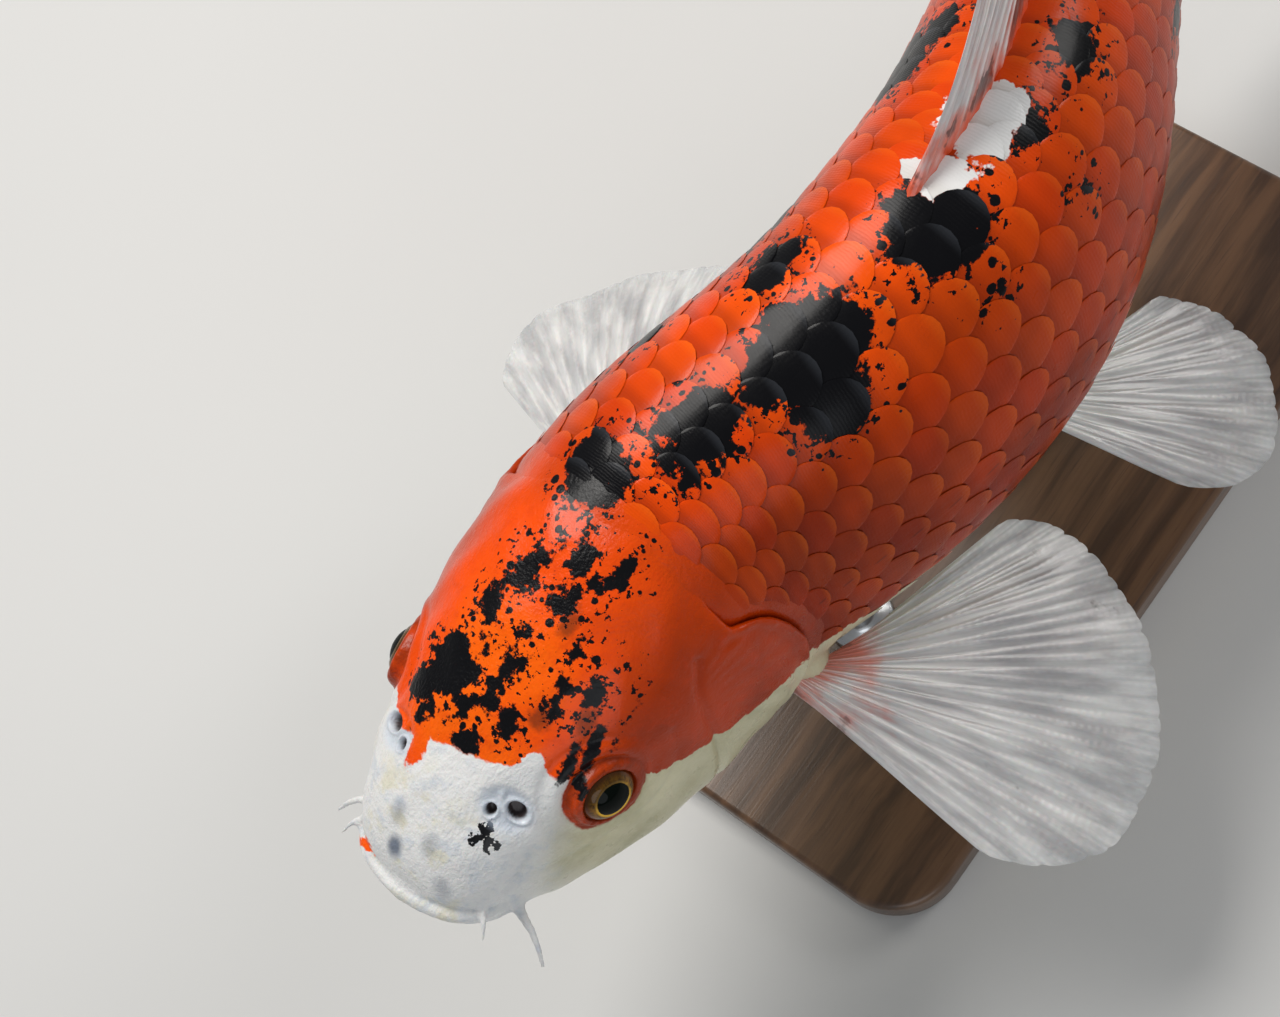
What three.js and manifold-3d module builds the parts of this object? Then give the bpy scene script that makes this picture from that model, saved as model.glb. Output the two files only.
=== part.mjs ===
// Koi carp, life size, as a still display model on a plain two-rod stand.
// Millimetres, +Z up. The fish faces -Y and its left side is +X. It swims nose up by a few
// degrees with an S-shaped bend, paired fins spread and the dorsal fin half folded.
//
// The body is shaped in a straight frame first: x to the fish's left, s backwards from the snout,
// z up from the level of the mouth. A bend along the backbone then carries it to its pose.
import * as THREE from "three";
import { mergeVertices } from "three/addons/utils/BufferGeometryUtils.js";
import Module from "manifold-3d";

const wasm = await Module();
wasm.setup();

// ---- driving dimensions ----------------------------------------------------------------------
const BODY_LENGTH = 460; // snout to the end of the tail stalk
const SWIM_HEIGHT = 168; // mouth above the floor, before the pitch
const PITCH = THREE.MathUtils.degToRad(5); // nose up
const GAP = 0.35; // between touching pieces
const RING_SIDES = 28;

// Outline of the straight body, as [s, value] points: top and bottom of each section, half width.
const backLine = curveThrough([
  [0, 1], [3, 8], [9, 15], [20, 23], [35, 32], [55, 42], [80, 50.5], [105, 57], [135, 62.5],
  [170, 67], [205, 70], [240, 68], [280, 61], [320, 50.5], [360, 40], [400, 31.5], [430, 27],
  [BODY_LENGTH, 28],
]);
const bellyLine = curveThrough([
  [0, -4], [4, -11], [14, -20], [35, -31], [60, -40], [85, -46.5], [110, -50.5], [140, -52.5],
  [175, -55], [210, -55], [260, -50], [300, -42], [340, -31.5], [380, -22.5], [400, -19],
  [430, -16.5], [BODY_LENGTH, -18],
]);
const halfWidth = curveThrough([
  [0, 9], [3, 15.5], [9, 21.5], [20, 27.5], [35, 33], [55, 38.5], [80, 42], [105, 42.5],
  [135, 42.5], [170, 42.5], [210, 42], [250, 39], [300, 32.5], [350, 23.5], [400, 14.5],
  [430, 10], [BODY_LENGTH, 6.5],
]);
// Where the widest level lies, as a share of the depth, and how square the section is
// below and above it.
const widestShare = curveThrough([[0, 0.5], [40, 0.36], [110, 0.38], [170, 0.44], [BODY_LENGTH, 0.5]]);
const squareBelow = curveThrough([
  [0, 2.2], [10, 2.6], [50, 2.9], [110, 2.7], [170, 2.3], [BODY_LENGTH, 2.1],
]);
const squareAbove = curveThrough([[0, 2.3], [60, 2.4], [110, 2.15], [BODY_LENGTH, 2]]);

// Heading of the backbone in degrees, positive towards the fish's left, on past the tail stalk.
const heading = curveThrough([
  [0, 0], [88, 0], [141, 18], [206, 0], [280, -21.5], [400, 4], [BODY_LENGTH, 17], [570, 28],
]);

// Stations of the body's rings: close at the snout, wider apart behind the gills.
const stations = [
  0, 1.5, 4, 8, 14, 22, 32, 43, 56, 70, 85, 100, 115, 130, 145, 161, 178, 196, 214, 232, 250, 268,
  286, 304, 322, 340, 358, 376, 394, 412, 430, 446, BODY_LENGTH,
];

const NECK_S = 96; // the skull's rear edge on the back
const STALK_S = 345; // where the tail stalk starts
const GILL_COVER_DEPTH = 5;
const THROAT_HALF = 7; // half the strip of throat between the gill covers

// The gill cover's rear edge, from the nape down to the throat, as [s, z].
const gillEdge = [
  [NECK_S, 30], [107, 22], [115, 10], [118.5, -3], [115.5, -15], [107, -26], [96, -35], [84, -40.5],
  [74, -43],
];
// Its front edge, from the throat back up.
const cheekEdge = [[68, -40], [73, -22], [76, 0], [78, 18], [84, 28]];

const eye = { x: 29.5, s: 47.5, z: 14.5, radius: 8.6, rimTube: 1.5 };
const nostril = { x: 18, s: 26.5, radius: 3.4 };
const mouth = { back: 15, frontZ: -2.5, drop: 6 };
const upperLip = { front: -1.2, below: -1.6, radius: 2.8 };
const lowerLip = { front: 1.6, below: 2.8, radius: 2.5 };

// Fins: spread in degrees, lengths along the fan from the leading to the trailing ray.
const pectoral = {
  base: [38.8, 117, -31], root: 20, rootLean: [0.1, 0.8, -0.6], spread: [8, 86], droop: 21,
  pitch: -6, curl: 0.12, rays: 14, steps: 5, thick: 3.2,
  length: curveThrough([
    [0, 72], [0.08, 89], [0.2, 102], [0.35, 105], [0.55, 99], [0.75, 89], [0.9, 78], [1, 64],
  ]),
};
const pelvic = {
  base: [16.5, 214, -47], root: 16, rootLean: [0.1, 0.8, -0.6], spread: [14, 72], droop: 23,
  pitch: -4, curl: 0.1, rays: 10, steps: 4, thick: 2.6,
  length: curveThrough([[0, 58], [0.1, 73], [0.3, 83], [0.5, 81], [0.75, 70], [1, 50]]),
};
const dorsal = {
  from: 200, to: 338, edge: backLine, side: 1, rake: [38, 30], lean: -3, wave: 2.5,
  rays: 16, steps: 4, thick: 3,
  length: curveThrough([[0, 52], [0.04, 62], [0.12, 60], [0.35, 46], [0.7, 36], [0.92, 32], [1, 24]]),
};
const anal = {
  from: 349, to: 381, edge: bellyLine, side: -1, rake: [58, 34], lean: 3, wave: 1,
  rays: 8, steps: 4, thick: 2.6,
  length: curveThrough([[0, 38], [0.1, 48], [0.3, 50], [0.6, 40], [1, 26]]),
};
const caudal = {
  root: BODY_LENGTH, spread: 36, rays: 9, steps: 5, thick: 4,
  length: curveThrough([[0, 52], [0.25, 60], [0.55, 78], [0.8, 94], [0.92, 97], [1, 86]]),
};

// Feelers as control points from the lip outwards, on the fish's left.
const cornerFeeler = {
  points: [[18, 17, -6.5], [24, 13.5, -9], [31, 10, -13], [36, 5.5, -19.5]],
  radius: 2.1,
};
const lipFeeler = { points: [[13, 12, 0.5], [19, 8, 0.5], [22.5, 4.5, -1], [24, 1, -4]], radius: 1.25 };

const stand = {
  length: 270, width: 150, thickness: 14, corner: 22, bevel: 2, rodRadius: 4.5,
  footRadius: 11, footHeight: 6, cupRadius: 9, cupHeight: 12, rodStations: [150, 290],
};

// ---- colours of the sub-parts -------------------------------------------------------------------
const paint = {
  orange: new THREE.MeshStandardMaterial({ color: 0xe8521c, roughness: 0.3 }),
  white: new THREE.MeshStandardMaterial({ color: 0xe9e4da, roughness: 0.35 }),
  fin: new THREE.MeshStandardMaterial({ color: 0xd9d6cf, roughness: 0.4 }),
  eye: new THREE.MeshStandardMaterial({ color: 0x1d1a12, roughness: 0.08 }),
  base: new THREE.MeshStandardMaterial({ color: 0xc9c6c0, roughness: 0.5 }),
  rod: new THREE.MeshStandardMaterial({ color: 0xb8babd, roughness: 0.3, metalness: 1 }),
};

// ---- helpers ------------------------------------------------------------------------------------
// A smooth function through [place, value] points that never overshoots them.
function curveThrough(points) {
  const at = points.map((p) => p[0]);
  const value = points.map((p) => p[1]);
  const slope = at.slice(1).map((x, i) => (value[i + 1] - value[i]) / (x - at[i]));
  const tangent = value.map((_, i) => {
    if (i === 0) return slope[0];
    if (i === value.length - 1) return slope[i - 1];
    if (slope[i - 1] * slope[i] <= 0) return 0;
    const before = at[i] - at[i - 1];
    const after = at[i + 1] - at[i];
    const w1 = 2 * after + before;
    const w2 = after + 2 * before;
    return (w1 + w2) / (w1 / slope[i - 1] + w2 / slope[i]);
  });
  return (where) => {
    const x = Math.min(Math.max(where, at[0]), at[at.length - 1]);
    let i = 0;
    while (i < at.length - 2 && x > at[i + 1]) i += 1;
    const width = at[i + 1] - at[i];
    const t = (x - at[i]) / width;
    const u = 1 - t;
    return (
      value[i] * (1 + 2 * t) * u * u +
      value[i + 1] * t * t * (3 - 2 * t) +
      width * (tangent[i] * t * u * u - tangent[i + 1] * t * t * u)
    );
  };
}

const mix = (a, b, t) => a + (b - a) * t;

// A point of the body's section at s. Angle 0 is the fish's left and a quarter turn is its back.
function skinPoint(s, angle, grow = 0) {
  const top = backLine(s) + grow;
  const bottom = bellyLine(s) - grow;
  const level = bottom + (top - bottom) * widestShare(s);
  const c = Math.cos(angle);
  const n = Math.sin(angle);
  const power = 2 / (n > 0 ? squareAbove(s) : squareBelow(s));
  const x = (halfWidth(s) + grow) * Math.sign(c) * Math.abs(c) ** power;
  const z = level + (n > 0 ? top - level : level - bottom) * Math.sign(n) * Math.abs(n) ** power;
  return [x, s, z];
}

function ring(s, grow, at = s) {
  return Array.from({ length: RING_SIDES }, (_, k) => {
    const [x, , z] = skinPoint(s, (2 * Math.PI * k) / RING_SIDES, grow);
    return [x, at, z];
  });
}

// Closed geometry through rings of points, each end closed by a fan to its middle.
function loft(rings) {
  const count = rings[0].length;
  const points = rings.flat();
  const index = [];
  for (let i = 0; i + 1 < rings.length; i += 1)
    for (let k = 0; k < count; k += 1) {
      const a = i * count + k;
      const b = i * count + ((k + 1) % count);
      index.push(a, a + count, b, b, a + count, b + count);
    }
  const middle = (r) => [0, 1, 2].map((j) => r.reduce((sum, p) => sum + p[j], 0) / count);
  const last = (rings.length - 1) * count;
  points.push(middle(rings[0]), middle(rings[rings.length - 1]));
  for (let k = 0; k < count; k += 1) {
    const next = (k + 1) % count;
    index.push(points.length - 2, k, next);
    index.push(points.length - 1, last + next, last + k);
  }
  return indexed(points, index);
}

function indexed(points, index) {
  const geometry = new THREE.BufferGeometry();
  geometry.setAttribute("position", new THREE.Float32BufferAttribute(points.flat(), 3));
  geometry.setIndex(index);
  return geometry;
}

function solidOf(geometry) {
  const bare = geometry.clone();
  bare.deleteAttribute("normal");
  bare.deleteAttribute("uv");
  const merged = mergeVertices(bare, 1e-3);
  return new wasm.Manifold(
    new wasm.Mesh({
      numProp: 3,
      vertProperties: merged.attributes.position.array,
      triVerts: new Uint32Array(merged.index.array),
    }),
  );
}

function geometryOf(solid) {
  const made = solid.getMesh();
  const position = new Float32Array(made.numVert * 3);
  for (let i = 0; i < made.numVert; i += 1)
    position.set(made.vertProperties.subarray(i * made.numProp, i * made.numProp + 3), i * 3);
  const geometry = new THREE.BufferGeometry();
  geometry.setAttribute("position", new THREE.BufferAttribute(position, 3));
  return geometry.setIndex(new THREE.BufferAttribute(made.triVerts, 1));
}

// The largest piece of a solid, without the crumbs that a cut leaves.
const largest = (solid) => solid.decompose().sort((a, b) => b.volume() - a.volume())[0];

// ---- the pose -------------------------------------------------------------------------------------
const spine = [new THREE.Vector2(0, 0)];
for (let s = 1; s <= 580; s += 1) {
  const turn = THREE.MathUtils.degToRad(heading(s - 0.5));
  spine.push(spine[s - 1].clone().add(new THREE.Vector2(Math.sin(turn), Math.cos(turn))));
}

// The frame of the bent backbone at s: its origin and the directions left, back and up.
function backbone(s) {
  const turn = THREE.MathUtils.degToRad(heading(s));
  const i = Math.min(Math.max(Math.floor(s), 0), spine.length - 2);
  const origin = spine[i].clone().lerp(spine[i + 1], s - i);
  return {
    origin: new THREE.Vector3(origin.x, origin.y, 0),
    left: new THREE.Vector3(Math.cos(turn), -Math.sin(turn), 0),
    back: new THREE.Vector3(Math.sin(turn), Math.cos(turn), 0),
    up: new THREE.Vector3(0, 0, 1),
  };
}

const swim = new THREE.Matrix4()
  .makeTranslation(0, 0, SWIM_HEIGHT)
  .multiply(new THREE.Matrix4().makeRotationX(-PITCH));

// From the straight frame to the pose.
function posed([x, s, z]) {
  const { origin, left } = backbone(s);
  return origin.addScaledVector(left, x).setZ(z).applyMatrix4(swim).toArray();
}

function bent(geometry) {
  const position = geometry.attributes.position;
  for (let i = 0; i < position.count; i += 1)
    position.setXYZ(i, ...posed([position.getX(i), position.getY(i), position.getZ(i)]));
  return geometry;
}

// ---- body, cut into its parts -----------------------------------------------------------------------
// A wall through the whole body with an outline of [s, z] points, grown outwards by grow.
function sideRegion(outline, grow = 0) {
  const shape = new THREE.Shape();
  const count = outline.length;
  const edgeNormal = (a, b) => new THREE.Vector2(b[1] - a[1], a[0] - b[0]).normalize();
  const moved = outline.map((p, i) => {
    const before = edgeNormal(outline[(i + count - 1) % count], p);
    const after = edgeNormal(p, outline[(i + 1) % count]);
    const out = before.clone().add(after).normalize();
    return new THREE.Vector2(...p).addScaledVector(out, grow / Math.max(out.dot(after), 0.3));
  });
  shape.setFromPoints(moved);
  const across = 140;
  const wall = new THREE.ExtrudeGeometry(shape, { depth: across, bevelEnabled: false, steps: 1 });
  wall.translate(0, 0, -across / 2);
  wall.applyMatrix4(new THREE.Matrix4().set(0, 0, 1, 0, 1, 0, 0, 0, 0, 1, 0, 0, 0, 0, 0, 1));
  return solidOf(wall);
}

const smooth = (points, count) =>
  new THREE.SplineCurve(points.map((p) => new THREE.Vector2(...p)))
    .getPoints(count)
    .map((p) => p.toArray());

const FAR = 90; // beyond the body, above and below
const gillRear = smooth(gillEdge, 12);
const cheek = smooth(cheekEdge, 5);
// Each outline runs so that its inside is on the left.
const headOutline = [[NECK_S, FAR], [-30, FAR], [-30, -FAR], [70, -FAR], ...gillRear.slice().reverse()];
const gillOutline = [...cheek.slice().reverse(), ...gillRear.slice().reverse()];
const jawOutline = [[-30, -2.5], [-30, -60], [46, -60], [34, -22], [24, -13], [14, -8], [2, -2.5]];

function bodyLoft(grow) {
  const rings = stations.map((s, i) => {
    const end = i === 0 ? -grow : i === stations.length - 1 ? grow : 0;
    return ring(s, grow, s + end);
  });
  return loft(rings);
}

// Half the width of the body's surface at s and at the level z.
function skinHalfWidth(s, z) {
  const level = mix(bellyLine(s), backLine(s), widestShare(s));
  const reach = z > level ? backLine(s) - level : level - bellyLine(s);
  const share = Math.min(Math.abs(z - level) / reach, 0.98);
  const power = z > level ? squareAbove(s) : squareBelow(s);
  return halfWidth(s) * (1 - share ** power) ** (1 / power);
}

// Height of the upper skin at s, x to the side of the middle.
function skinHeight(x, s) {
  const level = mix(bellyLine(s), backLine(s), widestShare(s));
  const power = squareAbove(s);
  return level + (backLine(s) - level) * (1 - (x / halfWidth(s)) ** power) ** (1 / power);
}

// A lip: a soft roll along the skin from one corner of the mouth round the front to the other.
function lip({ front, below, radius }, grow) {
  const cornerToFront = [1, 0.62, 0.32, 0.12].map((share) => {
    const s = Math.max(front, 0) + share * (mouth.back - Math.max(front, 0));
    const z = mouth.frontZ - mouth.drop * (s / mouth.back) ** 1.2 - below;
    return [skinHalfWidth(s, z) - 0.5 - 2.5 * share ** 3, s, z];
  });
  const middle = [0, front, mouth.frontZ - below];
  const otherSide = cornerToFront.slice().reverse().map(([x, s, z]) => [-x, s, z]);
  const points = [...cornerToFront, middle, ...otherSide].map((p) => new THREE.Vector3(...p));
  return tube(new THREE.CatmullRomCurve3(points), radius + grow, 14, 7);
}

function tube(path, radius, steps, sides) {
  const round = new THREE.Shape(
    Array.from({ length: sides }, (_, k) => {
      const turn = (2 * Math.PI * k) / sides;
      return new THREE.Vector2(radius * Math.cos(turn), radius * Math.sin(turn));
    }),
  );
  return solidOf(new THREE.ExtrudeGeometry(round, { steps, bevelEnabled: false, extrudePath: path }));
}

function ball(x, s, z, radius, squash = [1, 1, 1], sides = 14) {
  const made = new THREE.SphereGeometry(radius, sides, Math.round(sides * 0.6));
  return solidOf(made.scale(...squash).translate(x, s, z));
}

// The way the eye looks: out to the side, a little up and forward.
const eyeAxis = (side) => new THREE.Vector3(side * 0.93, -0.16, 0.33).normalize();

function eyeRim(side) {
  const made = new THREE.TorusGeometry(eye.radius - 0.4, eye.rimTube, 6, 16);
  const turn = new THREE.Quaternion().setFromUnitVectors(new THREE.Vector3(0, 0, 1), eyeAxis(side));
  const centre = new THREE.Vector3(side * eye.x, eye.s, eye.z).addScaledVector(eyeAxis(side), 3.6);
  return solidOf(made.applyQuaternion(turn).translate(...centre.toArray()));
}

const SIDES = [["left", 1], ["right", -1]];
const body = solidOf(bodyLoft(0));
const bodyGrown = solidOf(bent(bodyLoft(GAP + 0.15)));
const core = (inset) => solidOf(loft(stations.map((s) => ring(s, -inset))));
const lips = (grow) => lip(upperLip, grow).add(lip(lowerLip, grow));

const headWhole = body.add(lips(0)).intersect(sideRegion(headOutline));
const headGrown = solidOf(bodyLoft(GAP)).add(lips(GAP));
const trunkWhole = body.subtract(sideRegion(headOutline, GAP));

// The room that one gill cover takes: a skin-deep plate that stops short of the throat's midline.
function gillRoom(side, grow) {
  const plate = sideRegion(gillOutline, grow).subtract(core(GILL_COVER_DEPTH + grow));
  return plate.trimByPlane([side, 0, 0], THROAT_HALF - grow);
}

const jaw = () => largest(headWhole.intersect(sideRegion(jawOutline)));
const gillCover = (side) => largest(headWhole.intersect(gillRoom(side, 0)));

function head() {
  let made = headWhole.subtract(sideRegion(jawOutline, GAP));
  for (const [, side] of SIDES) {
    made = made.subtract(gillRoom(side, GAP)).add(eyeRim(side));
    made = made.subtract(ball(side * eye.x, eye.s, eye.z, eye.radius + GAP));
    const above = skinHeight(nostril.x, nostril.s) + 0.8;
    const pit = ball(side * nostril.x, nostril.s, above, nostril.radius, [0.8, 1, 0.8], 8);
    made = made.subtract(pit);
  }
  return largest(made);
}

const acrossAt = (from, to) => [[from, FAR], [from, -FAR], [to, -FAR], [to, FAR]];

// ---- fins -----------------------------------------------------------------------------------------------
// A thin closed sheet over a grid of points, rows from root to edge, thick at the root.
function finSheet(grid, thick, edge = 0.9) {
  const rows = grid.length;
  const columns = grid[0].length;
  const at = (i, j) => grid[Math.min(Math.max(i, 0), rows - 1)][Math.min(Math.max(j, 0), columns - 1)];
  const points = [];
  for (const face of [1, -1])
    grid.forEach((row, i) =>
      row.forEach((p, j) => {
        const along = at(i, j + 1).clone().sub(at(i, j - 1));
        const normal = at(i + 1, j).clone().sub(at(i - 1, j)).cross(along).normalize();
        const half = mix(thick, edge, Math.sqrt(j / (columns - 1))) / 2;
        points.push(p.clone().addScaledVector(normal, face * half).toArray());
      }),
    );
  const id = (face, i, j) => face * rows * columns + i * columns + j;
  const index = [];
  const quad = (a, b, c, d) => index.push(a, b, c, a, c, d);
  for (let i = 0; i + 1 < rows; i += 1)
    for (let j = 0; j + 1 < columns; j += 1) {
      quad(id(0, i, j), id(0, i + 1, j), id(0, i + 1, j + 1), id(0, i, j + 1));
      quad(id(1, i, j), id(1, i, j + 1), id(1, i + 1, j + 1), id(1, i + 1, j));
    }
  for (let i = 0; i + 1 < rows; i += 1) {
    quad(id(0, i, 0), id(1, i, 0), id(1, i + 1, 0), id(0, i + 1, 0));
    const j = columns - 1;
    quad(id(0, i, j), id(0, i + 1, j), id(1, i + 1, j), id(1, i, j));
  }
  for (let j = 0; j + 1 < columns; j += 1) {
    quad(id(0, 0, j), id(0, 0, j + 1), id(1, 0, j + 1), id(1, 0, j));
    const i = rows - 1;
    quad(id(0, i, j), id(1, i, j), id(1, i, j + 1), id(0, i, j + 1));
  }
  const solid = solidOf(indexed(points, index));
  if (solid.volume() > 0) return solid;
  return solidOf(indexed(points, index.slice().reverse()));
}

const ROOT_DEPTH = 5; // how far a fin's grid starts inside the body, before the body is cut away

function gridOf(rays, steps, pointAt) {
  return Array.from({ length: rays + 1 }, (_, i) =>
    Array.from({ length: steps + 1 }, (_, j) => pointAt(i / rays, j / steps)),
  );
}

// A pectoral or pelvic fin: a fan spread from a short root low on the flank.
function pairedFin(fin, side) {
  const { left, back, up } = backbone(fin.base[1]);
  const out = left.multiplyScalar(side);
  const droop = THREE.MathUtils.degToRad(fin.droop);
  const pitch = THREE.MathUtils.degToRad(fin.pitch);
  const span = out.clone().multiplyScalar(Math.cos(droop)).addScaledVector(up, -Math.sin(droop));
  const lift = out.clone().multiplyScalar(Math.sin(droop)).addScaledVector(up, Math.cos(droop));
  const chord = back.clone().multiplyScalar(Math.cos(pitch)).addScaledVector(lift, Math.sin(pitch));
  const under = span.clone().cross(chord).multiplyScalar(-side);
  const [x, s, z] = fin.base;
  const base = backbone(s).origin.addScaledVector(out, x).setZ(z);
  const grid = gridOf(fin.rays, fin.steps, (t, u) => {
    const turn = THREE.MathUtils.degToRad(mix(...fin.spread, t));
    const reach = mix(-ROOT_DEPTH, fin.length(t), u);
    const bow = (fin.curl * Math.max(reach, 0) ** 2) / 100;
    return base
      .clone()
      .addScaledVector(out, fin.rootLean[0] * fin.root * (t - 0.5))
      .addScaledVector(back, fin.rootLean[1] * fin.root * (t - 0.5))
      .addScaledVector(up, fin.rootLean[2] * fin.root * (t - 0.5))
      .addScaledVector(span, reach * Math.cos(turn))
      .addScaledVector(chord, reach * Math.sin(turn))
      .addScaledVector(under, bow)
      .applyMatrix4(swim);
  });
  return largest(finSheet(grid, fin.thick).subtract(bodyGrown));
}

// The dorsal or anal fin: rays raked back from a line along the back or the belly.
function medianFin(fin) {
  const lean = THREE.MathUtils.degToRad(fin.lean);
  const grid = gridOf(fin.rays, fin.steps, (t, u) => {
    const rake = THREE.MathUtils.degToRad(mix(...fin.rake, t));
    const reach = mix(-ROOT_DEPTH, fin.length(t), u);
    const s = mix(fin.from, fin.to, t) + reach * Math.cos(rake);
    const rise = reach * Math.sin(rake);
    const root = fin.edge(mix(fin.from, fin.to, t));
    const sway = Math.sin(lean) * rise + fin.wave * u * Math.sin(t * 2.2 * Math.PI);
    return new THREE.Vector3(...posed([sway, s, root + fin.side * rise]));
  });
  return largest(finSheet(grid, fin.thick).subtract(bodyGrown));
}

// One lobe of the tail fin, side 1 above and -1 below, with half of the slit between them.
function caudalLobe(side) {
  const top = backLine(caudal.root);
  const bottom = bellyLine(caudal.root);
  const middle = (top + bottom) / 2;
  const half = (top - bottom) / 2 - 1;
  const grid = gridOf(caudal.rays, caudal.steps, (t, u) => {
    const turn = THREE.MathUtils.degToRad(mix(1.5, caudal.spread, t ** 1.15));
    const reach = mix(-ROOT_DEPTH, caudal.length(t) * (side > 0 ? 1 : 0.96), u);
    const sway = 3 * u * u * Math.sin((side * t + 0.3) * Math.PI);
    const s = caudal.root + reach * Math.cos(turn);
    const z = middle + side * (0.4 + half * t + Math.max(reach, 0) * Math.sin(turn));
    return new THREE.Vector3(...posed([sway, s, z]));
  });
  return largest(finSheet(grid, caudal.thick).subtract(bodyGrown));
}

// A feeler: a tapering, drooping tube from the lip.
function feeler({ points, radius }, side) {
  const path = new THREE.CatmullRomCurve3(points.map(([x, s, z]) => new THREE.Vector3(side * x, s, z)));
  const sides = 6;
  const steps = 6;
  const rings = Array.from({ length: steps + 1 }, (_, i) => {
    const t = i / steps;
    const centre = path.getPoint(t);
    const ahead = path.getTangent(t);
    const across = new THREE.Vector3(0, 0, 1).cross(ahead).normalize();
    const above = ahead.clone().cross(across);
    const r = radius * mix(1, 0.28, t ** 0.8);
    return Array.from({ length: sides }, (_, k) => {
      const turn = (2 * Math.PI * k) / sides;
      return centre
        .clone()
        .addScaledVector(across, r * Math.cos(turn))
        .addScaledVector(above, r * Math.sin(turn))
        .toArray();
    });
  });
  const made = solidOf(loft(rings));
  return made.volume() > 0 ? made : solidOf(loft(rings.map((r) => r.slice().reverse())));
}

// ---- stand --------------------------------------------------------------------------------------------
function rounded(width, length, corner) {
  const w = width / 2;
  const l = length / 2;
  const shape = new THREE.Shape();
  shape.moveTo(w - corner, -l);
  shape.absarc(w - corner, -l + corner, corner, -Math.PI / 2, 0);
  shape.absarc(w - corner, l - corner, corner, 0, Math.PI / 2);
  shape.absarc(-w + corner, l - corner, corner, Math.PI / 2, Math.PI);
  shape.absarc(-w + corner, -l + corner, corner, Math.PI, 1.5 * Math.PI);
  return shape;
}

const rodFoot = (s) => new THREE.Vector3(...posed([0, s, bellyLine(s)]));
const standMiddle = rodFoot(stand.rodStations[0]).lerp(rodFoot(stand.rodStations[1]), 0.45);

function standBase() {
  const { width, length, corner, bevel, thickness } = stand;
  const plate = new THREE.ExtrudeGeometry(rounded(width - 2 * bevel, length - 2 * bevel, corner), {
    depth: thickness - 2 * bevel, bevelThickness: bevel, bevelSize: bevel, bevelSegments: 1,
    curveSegments: 4,
  });
  return solidOf(plate.translate(standMiddle.x, standMiddle.y, bevel));
}

// A rod on its foot, with a cup at the top that follows the belly.
function standRod(s) {
  const foot = rodFoot(s);
  const bottom = stand.thickness + GAP;
  const rim = foot.z - stand.cupHeight / 2;
  const reach = foot.z + 12;
  const profile = [
    [0, bottom], [stand.footRadius, bottom], [stand.footRadius, bottom + 2],
    [stand.rodRadius, bottom + stand.footHeight], [stand.rodRadius, rim],
    [stand.cupRadius, rim + 3], [stand.cupRadius, reach], [0, reach],
  ];
  const turned = new THREE.LatheGeometry(profile.map((p) => new THREE.Vector2(...p)), 16);
  const placed = solidOf(turned.rotateX(Math.PI / 2).translate(foot.x, foot.y, 0));
  return largest(placed.subtract(bodyGrown));
}

// ---- assembly ---------------------------------------------------------------------------------------------
const koi = new THREE.Group();

function add(name, geometry, material) {
  const mesh = new THREE.Mesh(geometry, material);
  mesh.name = name;
  koi.add(mesh);
}

// A solid of the straight body, bent into the pose.
const addFlesh = (name, solid, material) => add(name, bent(geometryOf(solid)), material);

const beforeStalk = sideRegion(acrossAt(-30, STALK_S - GAP));
addFlesh("head", head(), paint.orange);
addFlesh("lower_jaw", jaw(), paint.white);
addFlesh("trunk", largest(trunkWhole.intersect(beforeStalk)), paint.orange);
addFlesh("tail_stalk", largest(body.intersect(sideRegion(acrossAt(STALK_S, 600)))), paint.orange);

for (const [name, side] of SIDES) {
  addFlesh(`gill_cover_${name}`, gillCover(side), paint.orange);
  addFlesh(`eye_${name}`, ball(side * eye.x, eye.s, eye.z, eye.radius), paint.eye);
  const [corner, onLip] = [cornerFeeler, lipFeeler].map((f) => feeler(f, side).subtract(headGrown));
  addFlesh(`feeler_corner_${name}`, largest(corner), paint.white);
  addFlesh(`feeler_lip_${name}`, largest(onLip), paint.white);
  add(`pectoral_fin_${name}`, geometryOf(pairedFin(pectoral, side)), paint.fin);
  add(`pelvic_fin_${name}`, geometryOf(pairedFin(pelvic, side)), paint.fin);
}
add("dorsal_fin", geometryOf(medianFin(dorsal)), paint.fin);
add("anal_fin", geometryOf(medianFin(anal)), paint.fin);
add("caudal_fin_upper", geometryOf(caudalLobe(1)), paint.fin);
add("caudal_fin_lower", geometryOf(caudalLobe(-1)), paint.fin);
add("stand_base", geometryOf(standBase()), paint.base);
add("stand_rod_front", geometryOf(standRod(stand.rodStations[0])), paint.rod);
add("stand_rod_rear", geometryOf(standRod(stand.rodStations[1])), paint.rod);

// The part's origin is the middle of its footprint, on the floor.
const box = new THREE.Box3().setFromObject(koi);
koi.position.set(-(box.min.x + box.max.x) / 2, -(box.min.y + box.max.y) / 2, -box.min.z);

export default koi;
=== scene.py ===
"""Looks of the koi carp display model: skin, scales, rayed fins, eyes and a stand of wood and steel.

Lengths are millimetres in the fish's straight frame: x to its left, s backwards from the snout and
z up from the level of the mouth. On the body, w is the way round from the middle of the back,
positive on the left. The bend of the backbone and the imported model's place carry points to the
row frame, in metres.
"""
import math

import bmesh
import bpy
import numpy as np
from mathutils import Matrix, Vector


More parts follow.
